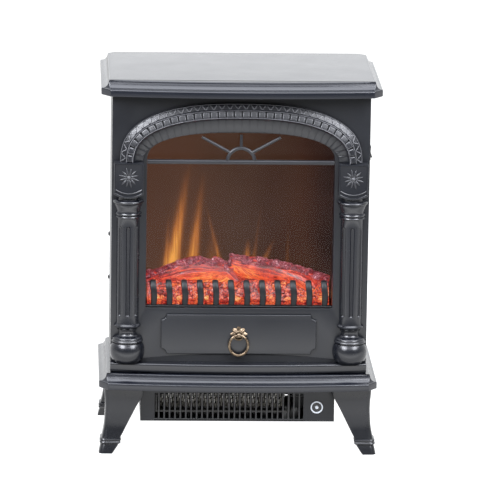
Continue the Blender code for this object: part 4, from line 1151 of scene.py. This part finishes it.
def ember_bed():
    """The heap under the logs: an uneven slope of embers from the window's foot up to the logs."""
    columns, rows = 230, 46
    width = columns + 1
    top = []
    marks = []
    for t in evenly(rows + 1, 0, 1):
        y = blend(-0.0635, -0.0130, t)
        for x in evenly(width, FIRE_LOW[0], FIRE_HIGH[0]):
            heave = rough_noise((x, y, 0), 75.0, 2.0)
            cell = noise.cell_vector(Vector((x * 85, y * 85, 0)))[0]
            slope = blend(0.2150, 0.2420, smooth_step(0.0, 0.55, t) * 0.9 + 0.1 * t)
            rough = (0.0030 * heave + 0.0012 * (cell - 0.5)) * smooth_step(0.0, 0.10, t)
            top.append((x, y, slope - 0.020 * smooth_step(0.72, 1.0, t) + rough))
            marks.append(0.50 + 0.16 * heave - 0.30 * t)
    faces = []
    for j in range(rows):
        for a in range(j * width, j * width + columns):
            faces.append((a, a + 1, a + width + 1, a + width))
    edge = list(range(width)) + [(j + 1) * width - 1 for j in range(1, rows + 1)]
    edge += [rows * width + i for i in range(columns - 1, -1, -1)]
    edge += [j * width for j in range(rows - 1, 0, -1)]
    first = len(top)
    skirt = [(*top[k][:2], FIRE_LOW[2]) for k in edge]
    for n in range(len(edge)):
        m = (n + 1) % len(edge)
        faces.append((edge[n], first + n, first + m, edge[m]))
    faces.append(tuple(range(first, first + len(edge)))[::-1])
    shape = Shape().add(top + skirt, faces)
    shape.marks = marks + [0.45] * len(skirt)
    return shape


def lump(shape, centre, size, chance, mark, squash):
    """An irregular stone-like lump: a sphere pushed in and out by noise."""
    work = bmesh.new()
    bmesh.ops.create_icosphere(work, subdivisions=2, radius=1.0)
    seed = chance.uniform(0, 90)
    turn = Matrix.Rotation(chance.uniform(0, 6.28), 3, "Z")
    turn = turn @ Matrix.Rotation(chance.uniform(-0.5, 0.5), 3, "X")
    stretch = Vector((chance.uniform(0.8, 1.35), chance.uniform(0.7, 1.0), squash))
    points = []
    for vertex in work.verts:
        out = 1 + 0.30 * noise.noise(vertex.co * 1.3 + Vector((seed, 0, 0)))
        out += 0.16 * noise.noise(vertex.co * 3.1 + Vector((0, seed, 0)))
        points.append(Vector(centre) + turn @ (vertex.co * stretch * out) * size)
    faces = [tuple(vertex.index for vertex in face.verts) for face in work.faces]
    work.free()
    shape.add(points, faces, mark)


def crust_shape(logs):
    """Small charred lumps that crust the logs' upper edges, set on the logs' own surface."""
    chance = random.Random(11)
    tree = BVHTree.FromPolygons(logs.points, logs.faces)

    def top_at(x, y):
        return tree.ray_cast(Vector((x, y, 0.30)), Vector((0, 0, -1)))[0]

    shape = Shape()
    for i in range(CRUST_LUMPS):
        x = chance.uniform(-0.1290, 0.1290)
        y = chance.uniform(-0.036, -0.024)
        top = top_at(x, y)
        if not top or top[2] < 0.225:
            continue
        down = chance.uniform(-0.0010, 0.0075) * chance.uniform(0.5, 1.0)
        tops = [top_at(x, back) for back in (-0.036, -0.031, -0.026, -0.021)]
        ridge = max(point[2] for point in tops if point)
        place = tree.ray_cast(Vector((x, -0.070, ridge - max(down, 0.0004))), Vector((0, 1, 0)))[0]
        if place:
            size = chance.uniform(0.0012, 0.0022) if i % 5 else chance.uniform(0.0028, 0.0044)
            lump(shape, place + Vector((0, 0.0006, -0.0003)), size, chance, 0.0, 0.85)
    return shape


def coal_shape():
    """Broken embers heaped in front of the logs, behind the grate."""
    chance = random.Random(29)
    shape = Shape()
    for _ in range(COAL_LUMPS):
        x = chance.uniform(-0.124, 0.124)
        t = chance.random()
        z = blend(0.2150, 0.2350, t) + chance.uniform(-0.002, 0.0035)
        mark = 0.62 + chance.uniform(-0.30, 0.25) - 0.25 * t
        place = (x, blend(-0.0570, -0.0400, t), z)
        lump(shape, place, chance.uniform(0.0032, 0.0068), chance, mark, 0.8)
    return shape


# ---------------------------------------------------------------- ash drawer


SCOOP = 0.0080  # radius of the hollows in the drawer front's corners


def drawer_face():
    """The drawer's front: a raised panel with soft edges and a quarter circle scooped out of each corner."""
    low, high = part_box("drawer_front")
    outline = []
    for u, v, first in ((high[0], low[2], 180), (high[0], high[2], 270), (low[0], high[2], 0),
                        (low[0], low[2], 90)):
        outline += oval(SCOOP, SCOOP, 9, u, v, math.radians(first), math.radians(first - 90))
    return Shape().flat([outline], "Y", low[1], high[1], 0.0014, 4)


def backplate():
    """A brass fan of five ridged lobes with a cup below, and the pierced lug that the ring hangs in."""
    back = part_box("pull_backplate")[1][1]
    centre = Vector((0, back, PULL_Z))
    shape = Shape()
    for degrees in evenly(5, -88, 88):
        along, across = star_directions(math.radians(degrees))
        loops = []
        for t in evenly(11, 0, 1):
            wide = 0.0011 if t == 1 else 0.0009 + 0.0030 * math.sin(math.pi * (0.12 + t * 0.86)) ** 0.75
            tall = 0.0011 + 0.0010 * math.sin(math.pi * t)
            middle = centre + along * blend(0.0015, 0.0120, t)
            loop = [middle - across * wide]
            for s in evenly(9, -1, 1)[1:-1]:
                ridge = 1 - 0.55 * abs(math.cos(math.pi * s * 1.5)) * (abs(s) < 0.9)
                out = tall * ridge * math.sqrt(1 - s * s * 0.8)
                loop.append(middle + across * wide * s - Vector((0, out, 0)))
            loops.append(loop + [middle + across * wide])
        shape.loft(loops)
    rim = [(0.0, 0.0056), (-0.0011, 0.0056), (-0.0020, 0.0048), (-0.0021, 0.0038), (-0.0016, 0.0030),
           (-0.0014, 0.0010)]
    shape.turned(rim, centre, "Y", 28)
    cup = oval(0.0072, 0.0072, 15, 0.0, PULL_Z - 0.0005, math.radians(200), math.radians(340))
    shape.sweep([(x, back - 0.0008, z) for x, z in cup], oval(0.0013, 0.0012, 10), up=FORWARD)
    lug = oval(0.0042, 0.0042, 17, PULL_Y, PULL_Z, RIGHT_ANGLE, 3 * RIGHT_ANGLE)
    lug += [(back - 0.0012, PULL_Z - 0.0042), (back - 0.0012, PULL_Z + 0.0042)]
    return shape.flat([lug, disc(PULL_Y, PULL_Z, 0.0027)], "X", -0.0021, 0.0021, 0.0005)


def ring():
    """An oval ring, thicker at the bottom, with a faint collar at each side."""
    low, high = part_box("pull_ring")
    middle = (low + high) / 2
    half = (high[0] - low[0]) / 2 - 0.0020
    tall = (high[2] - low[2]) / 2 - 0.0020
    loops = []
    for a in circle(72):
        out = Vector((math.cos(a) / half, 0, math.sin(a) / tall)).normalized()
        centre = Vector((half * math.cos(a), middle[1], middle[2] + tall * math.sin(a)))
        size = 0.00190 + 0.00022 * (1 - math.sin(a)) / 2
        size += 0.00016 * math.exp(-((math.degrees(a) % 180 - 20) / 5) ** 2)
        loops.append([centre + out * u + Vector((0, v, 0)) for u, v in oval(size, size, 16)])
    return Shape().loft(loops, ring=True)


# ---------------------------------------------------------------- heater


def heater_box():
    """A folded steel box, open at the outlet in front, with slots for air in the back."""
    low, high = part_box("heater_housing")
    wall = 0.0010
    lap = 0.0004
    end = rectangle(low[0], high[0], low[2], high[2])
    outlet = rectangle(-0.1195, 0.0958, low[2] + 0.0012, 0.0835)
    shape = Shape().flat([rounded(end, 0.0012), outlet], "Y", low[1], low[1] + wall, 0.0003)
    slots = [rounded(rectangle(x, x + 0.006, 0.052, 0.086), 0.0028) for x in evenly(14, -0.102, 0.0865)]
    shape.flat([end, *slots], "Y", high[1] - wall, high[1], 0.0003)
    for z in (low[2], high[2] - wall):
        shape.flat([rectangle(low[0], high[0], low[1] + lap, high[1] - lap)], "Z", z, z + wall, 0.0003)
    for x in (low[0], high[0] - wall):
        shape.flat([rectangle(low[1] + lap, high[1] - lap, low[2], high[2])], "X", x, x + wall, 0.0003)
    return shape


GRILLE_BARS = 27
GRILLE_PITCH = 0.0078


def grille():
    """A moulded grille: round-fronted upright bars in a thin frame, with two cross ties behind."""
    low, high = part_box("outlet_grille")
    middle = (low + high) / 2
    y = middle[1]
    upright = oval(0.00125, 0.0010, 10)
    shape = Shape()
    for i in range(GRILLE_BARS):
        x = middle[0] + GRILLE_PITCH * (i - (GRILLE_BARS - 1) / 2)
        shape.sweep([(x, y, low[2] + 0.0008), (x, y, high[2] - 0.0008)], upright, up=FORWARD)
    for z, size in ((low[2] + 0.0008, 1.0), (high[2] - 0.0015, 1.6), (0.0795, 0.55)):
        tie = [(a * size, b) for a, b in upright]
        shape.sweep([(low[0], y + 0.0001, z), (high[0], y + 0.0001, z)], tie, up=FORWARD)
    for x in (low[0] + 0.0008, high[0] - 0.0008):
        shape.sweep([(x, y, low[2]), (x, y, high[2])], upright, up=FORWARD)
    return shape


def heater_element():
    """A rolled ribbon wound to and fro in three tiers across the outlet."""
    low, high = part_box("heating_ribbon")
    folds = 58
    half = 0.00035
    shape = Shape()
    for tier in range(3):
        bottom = blend(low[2], high[2], tier / 3) + 0.0004
        top = blend(low[2], high[2], (tier + 1) / 3) - 0.0010
        middle = []
        for t in evenly(folds * 4 + 1, 0, 1):
            wave = math.sin(math.pi * folds * t + tier)
            y = (low[1] + high[1]) / 2 + math.copysign(0.0042 * abs(wave) ** 0.7, wave)
            middle.append((blend(low[0] + 0.001, high[0] - 0.001, t), y))
        outline = [(x, y - half) for x, y in middle] + [(x, y + half) for x, y in middle[::-1]]
        shape.loft([[(x, y, z) for x, y in outline] for z in (bottom, top)])
    return shape


def badge():
    """A generic round badge: a pale raised ring and a plain dot, and the dark field between them."""
    low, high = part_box("round_badge")
    centre = Vector(((low[0] + high[0]) / 2, high[1], (low[2] + high[2]) / 2))
    radius = (high[0] - low[0]) / 2
    rim = [(0.0, radius), (-0.0008, radius), (-0.0011, radius - 0.0003), (-0.0011, radius - 0.0016),
           (-0.0009, radius - 0.0019), (-0.0004, radius - 0.0020), (0.0, radius - 0.0020)]
    dot = [(0.0, 0.0024), (-0.0008, 0.0024), (-0.0010, 0.0020), (-0.0011, 0.0008)]
    field = [(0.0, radius - 0.0018), (-0.0003, radius - 0.0018), (-0.0004, radius - 0.0030), (-0.0004, 0.001)]
    pale = Shape().turned(rim, centre, "Y", 48, ring=True).turned(dot, centre, "Y", 24)
    return pale, Shape().turned(field, centre, "Y", 40)


# ---------------------------------------------------------------- legs and switches

LEG_STATIONS = (  # height, and the inner and outer edges of the bracket's arms along X
    (0.0952, 0.1370, 0.1925), (0.0890, 0.1368, 0.1921), (0.0830, 0.1380, 0.1917), (0.0760, 0.1415, 0.1911),
    (0.0660, 0.1470, 0.1908), (0.0550, 0.1525, 0.1911), (0.0400, 0.1600, 0.1922), (0.0300, 0.1650, 0.1940),
    (0.0222, 0.1693, 0.1957),
)
LEG_FOOT = (  # the same below the arms: two beads and the raked foot
    (0.0219, 0.1686, 0.1966), (0.0212, 0.1680, 0.1976), (0.0200, 0.1678, 0.1981), (0.0188, 0.1684, 0.1979),
    (0.0181, 0.1692, 0.1972), (0.0176, 0.1690, 0.1974), (0.0168, 0.1684, 0.1982), (0.0158, 0.1684, 0.1986),
    (0.0148, 0.1692, 0.1984), (0.0140, 0.1706, 0.1974), (0.0128, 0.1716, 0.1968), (0.0110, 0.1728, 0.1974),
    (0.0050, 0.1768, 0.1988), (0.0010, 0.1796, 0.1996), (0.0, 0.1802, 0.1998),
)


def leg(side_x, side_y, shift):
    """A cast corner bracket: two flared arms that narrow to a ring of two beads and a raked foot."""
    corner = 0.007
    soft = 0.0012
    loops = []
    for z, inner, outer in [*spline(LEG_STATIONS, 4), *LEG_FOOT]:
        arm = min(0.018, 0.9 * (outer - inner))
        inner_y = inner - shift
        outer_y = outer - shift
        points = [(inner + soft, outer_y - arm), (outer - arm - soft, outer_y - arm),
                  (outer - arm, outer_y - arm - soft), (outer - arm, inner_y + soft),
                  (outer - arm + soft, inner_y), (outer - soft, inner_y), (outer, inner_y + soft)]
        points += oval(corner, corner, 9, outer - corner, outer_y - corner, 0, RIGHT_ANGLE)
        points += [(inner + soft, outer_y), (inner, outer_y - soft), (inner, outer_y - arm + soft)]
        loops.append([(side_x * x, side_y * y, z) for x, y in points])
    return Shape().loft(loops)


def switch_housing(name):
    """A rectangular tube through the side panel, with a flanged bezel outside."""
    low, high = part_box(name)
    middle = (low + high) / 2
    face = SWITCH_FACE_X
    loops = []
    for half_y, half_z, x, radius in (
        (0.0050, 0.0090, low[0] + 0.008, 0.0006), (0.0050, 0.0090, high[0] - 0.0004, 0.0006),
        (0.0053, 0.0093, high[0], 0.0007), (0.0068, 0.0104, high[0], 0.0014),
        (0.0071, 0.0107, high[0] - 0.0004, 0.0016), (0.0072, 0.0108, face + 0.0002, 0.0016),
        (0.0072, 0.0108, face, 0.0016), (0.0059, 0.0098, face, 0.0006), (0.0059, 0.0098, low[0], 0.0006),
    ):
        edge = rounded(rectangle(-half_y, half_y, -half_z, half_z), radius, 3)
        loops.append([(x, middle[1] + u, middle[2] + v) for u, v in edge])
    return Shape().loft(loops, ring=True)


def rocker(name):
    """A rocker cap: a dished face between two raised ends, with grip ribs on the pressed end."""
    low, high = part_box(name)
    pivot = Vector((ROCKER_X, (low[1] + high[1]) / 2, ROCKER_Z))
    tilt = Matrix.Rotation(math.radians(ROCKER_TILT), 3, "Y")

    def place(out, side, up):
        return pivot + tilt @ Vector((out, side, up))

    def dish(up):
        return 0.0016 * (up / 0.0080) ** 2

    profile = [(-0.0030, -0.0050), (0.0008, -0.0077)]
    profile += [(0.0036 + dish(up), up) for up in evenly(13, -0.0080, 0.0080)]
    profile += [(0.0008, 0.0077), (-0.0030, 0.0050)]
    ends = ((-0.0045, 0.94), (-0.0042, 1.0), (0.0042, 1.0), (0.0045, 0.94))
    shape = Shape().loft([[place(out * size, side, up * size) for out, up in profile] for side, size in ends])
    for up in (0.0034, 0.0047, 0.0060):
        rib = [place(0.0039 + dish(up), side, up) for side in (-0.0032, 0.0032)]
        shape.sweep(rib, oval(0.00028, 0.00028, 8))
    return shape


# ---------------------------------------------------------------- assembly


def dress():
    """Puts every piece in place."""
    for name in ("top", "base"):
        piece(f"{name}_board", plate(f"{name}_plate"), "painted_board", BOARD_PAINT, f"{name}_plate")
    piece("rear_sheet", rear_cover(), "painted_steel", STEEL_PAINT, "rear_cover")
    keep("left_side_panel right_side_panel", STEEL_PAINT, 0.0003)
    for side, axis, way, ends in (("side", "X", -1, "lower upper"),
                                  ("rear", "Y", 1, "lower_left lower_right upper_left upper_right")):
        for end in ends.split():
            screw = f"{side}_screw_{end}"
            piece(f"{side}_fixing_{end}", screw_shape(screw, axis, way), "black_screw", SCREW_BLACK, screw)
    piece("cord_inlet", gland_shape(), "black_nylon", NYLON, "cable_gland")

    piece("front_sheet", front_frame(), "charcoal_moulding", FRAME_PAINT, "front_frame")
    piece("arch_trim", arch_moulding(), "charcoal_moulding", ARCH_PAINT, "arch_moulding")
    for side, name in ((-1, "left"), (1, "right")):
        x = side * COLUMN_X
        piece(f"{name}_pillar", column_shape(x), "charcoal_moulding", CAST_PAINT, f"{name}_column")
        piece(f"{name}_block", block_shape(x), "charcoal_moulding", ARCH_PAINT, f"{name}_column")
    piece("sill", sill(), "charcoal_moulding", CAST_PAINT, "sill_moulding")
    # The strip is a real cove in shape, in a darker, duller paint as painted shade.
    piece("sill_fillet_painted_shade", sill_fillet_painted_shade(), "charcoal_moulding", GRATE_PAINT)
    piece("fanlight", fanlight(), "charcoal_moulding", ARCH_PAINT, "fanlight_bars")
    piece("grate", grate(), "charcoal_moulding", GRATE_PAINT, "fire_grate")
    keep("window_glass", GLASS)

    keep("firebox_floor firebox_side_left firebox_side_right firebox_roof", SOOT)
    keep("flame_screen", SCREEN)
    logs = log_pieces()
    piece("logs", logs, "ember_resin", WOOD, "log_bed", sharp=60)
    piece("ember_bed", ember_bed(), "ember_resin", COALS, "log_bed", sharp=60)
    piece("ember_crust", crust_shape(logs), "ember_resin", CRUST, "log_bed", sharp=60)
    piece("coals", coal_shape(), "ember_resin", COALS, "log_bed", sharp=60)
    keep("led_board power_board", BOARD_GREEN)
    keep("flame_rotor", FOIL)
    keep("rotor_bracket_left rotor_bracket_right flame_motor", ZINC, 0.0002)

    piece("drawer_face", drawer_face(), "charcoal_moulding", FRAME_PAINT, "drawer_front", body="ash_drawer")
    piece("drawer_pull", backplate(), "antique_brass", BRASS, "pull_backplate", body="ash_drawer")
    piece("drawer_ring", ring(), "antique_brass", BRASS, "pull_ring", body="ring", sharp=60)
    keep("drawer_tray drawer_runner_left drawer_runner_right", ZINC)

    piece("heater_case", heater_box(), "painted_steel", STEEL_PAINT, "heater_housing")
    piece("grille", grille(), "black_nylon", NYLON, "outlet_grille")
    keep("heater_frame", MICA, 0.0002)
    piece("heating_element", heater_element(), "ribbon_wire", RIBBON, "heating_ribbon")
    keep("blower_scroll", STEEL_PAINT)
    keep("blower_motor", STEEL_PAINT, 0.0003)
    keep("blower_wheel blower_bearing thermal_cutout terminal_block", NYLON)
    rim, field = badge()
    piece("badge_ring", rim, "pale_badge", PRINT, "round_badge")
    piece("badge_field", field, "pale_badge", NYLON, "round_badge")

    for side_y, row, shift in ((-1, "front", 0.084), (1, "rear", 0.076)):
        for side_x, name in ((-1, "left"), (1, "right")):
            foot = leg(side_x, side_y, shift)
            piece(f"{row}_{name}_foot", foot, "leg_moulding", LEG_PAINT, f"{row}_{name}_leg")
    for name in ("front", "middle", "rear"):
        housing, cap = f"switch_housing_{name}", f"rocker_{name}"
        piece(f"switch_body_{name}", switch_housing(housing), "black_nylon", NYLON, housing)
        piece(f"switch_cap_{name}", rocker(cap), "black_nylon", NYLON, cap, body=f"{name}_rocker")


# ---------------------------------------------------------------- studio


def camera():
    """The camera, aimed at a point from a distance, by angles to the left, down and over."""
    yaw, pitch, roll = (math.radians(angle) for angle in (CAMERA_YAW, CAMERA_PITCH, CAMERA_ROLL))
    forward = Vector((math.sin(yaw) * math.cos(pitch), math.cos(yaw) * math.cos(pitch), -math.sin(pitch)))
    level = Vector((math.cos(yaw), -math.sin(yaw), 0))
    upright = level.cross(forward)
    right = level * math.cos(roll) + upright * math.sin(roll)
    up = upright * math.cos(roll) - level * math.sin(roll)
    data = bpy.data.cameras.new("camera")
    data.sensor_width = 36
    data.lens = CAMERA_LENS
    data.clip_end = 100
    made = bpy.data.objects.new("camera", data)
    made.matrix_world = Matrix((right, up, -forward)).transposed().to_4x4()
    made.matrix_world.translation = CAMERA_AIM - forward * CAMERA_DISTANCE
    bpy.context.scene.collection.objects.link(made)
    bpy.context.scene.camera = made


def softbox(name, place, aim, width, height, brightness, colour):
    """A soft rectangular lamp of a given brightness, the same all over its face, aimed at a point."""
    data = bpy.data.lights.new(name, "AREA")
    data.shape = "RECTANGLE"
    data.size = width
    data.size_y = height
    data.energy = brightness * math.pi * width * height
    data.color = colour
    made = bpy.data.objects.new(name, data)
    made.location = place
    made.rotation_euler = (Vector(aim) - Vector(place)).to_track_quat("-Z", "Y").to_euler()
    made.visible_camera = False
    bpy.context.scene.collection.objects.link(made)


COOL = (0.96, 0.98, 1.05)
FLOOR_NEAR, FLOOR_FAR = -2.6, 1.4
FLOOR_LEVELS = (  # place along Y and brightness
    (-2.6, 0.03), (-2.0, 0.07), (-1.5, 0.15), (-1.1, 0.26), (-0.80, 0.33), (-0.66, 0.40), (-0.58, 0.60),
    (-0.50, 1.00), (-0.42, 1.00), (-0.36, 0.62), (-0.28, 0.38), (0.05, 0.38), (1.4, 0.38),
)


def room():
    """A pale room for the gloss to reflect, darker in front."""
    world = bpy.data.worlds.new("room")
    world.use_nodes = True
    tree = world.node_tree
    background = tree.nodes["Background"]
    place = tree.nodes.new("ShaderNodeTexCoord")
    split = tree.nodes.new("ShaderNodeSeparateXYZ")
    level = tree.nodes.new("ShaderNodeMapRange")
    tree.links.new(place.outputs["Generated"], split.inputs[0])
    tree.links.new(split.outputs["Y"], level.inputs[0])
    for socket, value in zip(level.inputs[1:5], (-0.6, 0.9, 0.20, 1.75)):
        socket.default_value = value
    tree.links.new(level.outputs[0], background.inputs["Strength"])
    background.inputs["Color"].default_value = (0.97, 0.985, 1.0, 1)
    bpy.context.scene.world = world


def floor():
    """A white floor whose brightness, which the gloss reflects, follows the distance in front."""
    mesh = bpy.data.meshes.new("floor")
    mesh.from_pydata([(-9, -9, 0), (9, -9, 0), (9, 9, 0), (-9, 9, 0)], [], [(0, 1, 2, 3)])
    made = bpy.data.objects.new("floor", mesh)
    bpy.context.scene.collection.objects.link(made)
    graph = Graph("white_floor")
    near = graph.range(graph.x_and(1)[1], FLOOR_NEAR, FLOOR_FAR)
    stops = [((y - FLOOR_NEAR) / (FLOOR_FAR - FLOOR_NEAR), (level,) * 3) for y, level in FLOOR_LEVELS]
    graph.set(
        Base_Color=graph.ramp(graph.noise(3.0), (0.3, (0.115, 0.115, 0.115)), (0.7, (0.12, 0.12, 0.12))),
        Roughness=0.9,
        Specular_IOR_Level=0.0,
        Emission_Color=graph.ramp(near, *stops),
        Emission_Strength=2.9,
    )
    mesh.materials.append(graph.material)


def studio():
    """Two front softboxes, two more at the sides, a fill, an overhead light and one behind."""
    bpy.context.scene.view_settings.view_transform = "Standard"
    for side, name, share in ((-1, "left", 1.0), (1, "right", 0.8)):
        softbox(f"softbox_{name}", (side * 1.30, -1.55, 1.60), (0, 0, 0.25), 1.05, 1.05, 24.0 * share, COOL)
        softbox(f"side_{name}", (side * 1.70, -0.80, 2.10), (0, 0, 0.3), 1.0, 1.0, 10.0 * share, COOL)
    softbox("front_fill", (0, -2.30, 1.75), (0, 0, 0.3), 1.7, 0.7, 4.0, COOL)
    softbox("overhead", (0, -0.55, 1.95), (0, -0.10, 0.3), 2.4, 1.4, 6.5, (0.95, 0.98, 1.06))
    softbox("back_light", (0, 1.10, 1.80), (0, 0.1, 0.3), 1.8, 0.8, 2.5, (1, 1, 1))
    room()
    floor()


camera()
studio()
dress()
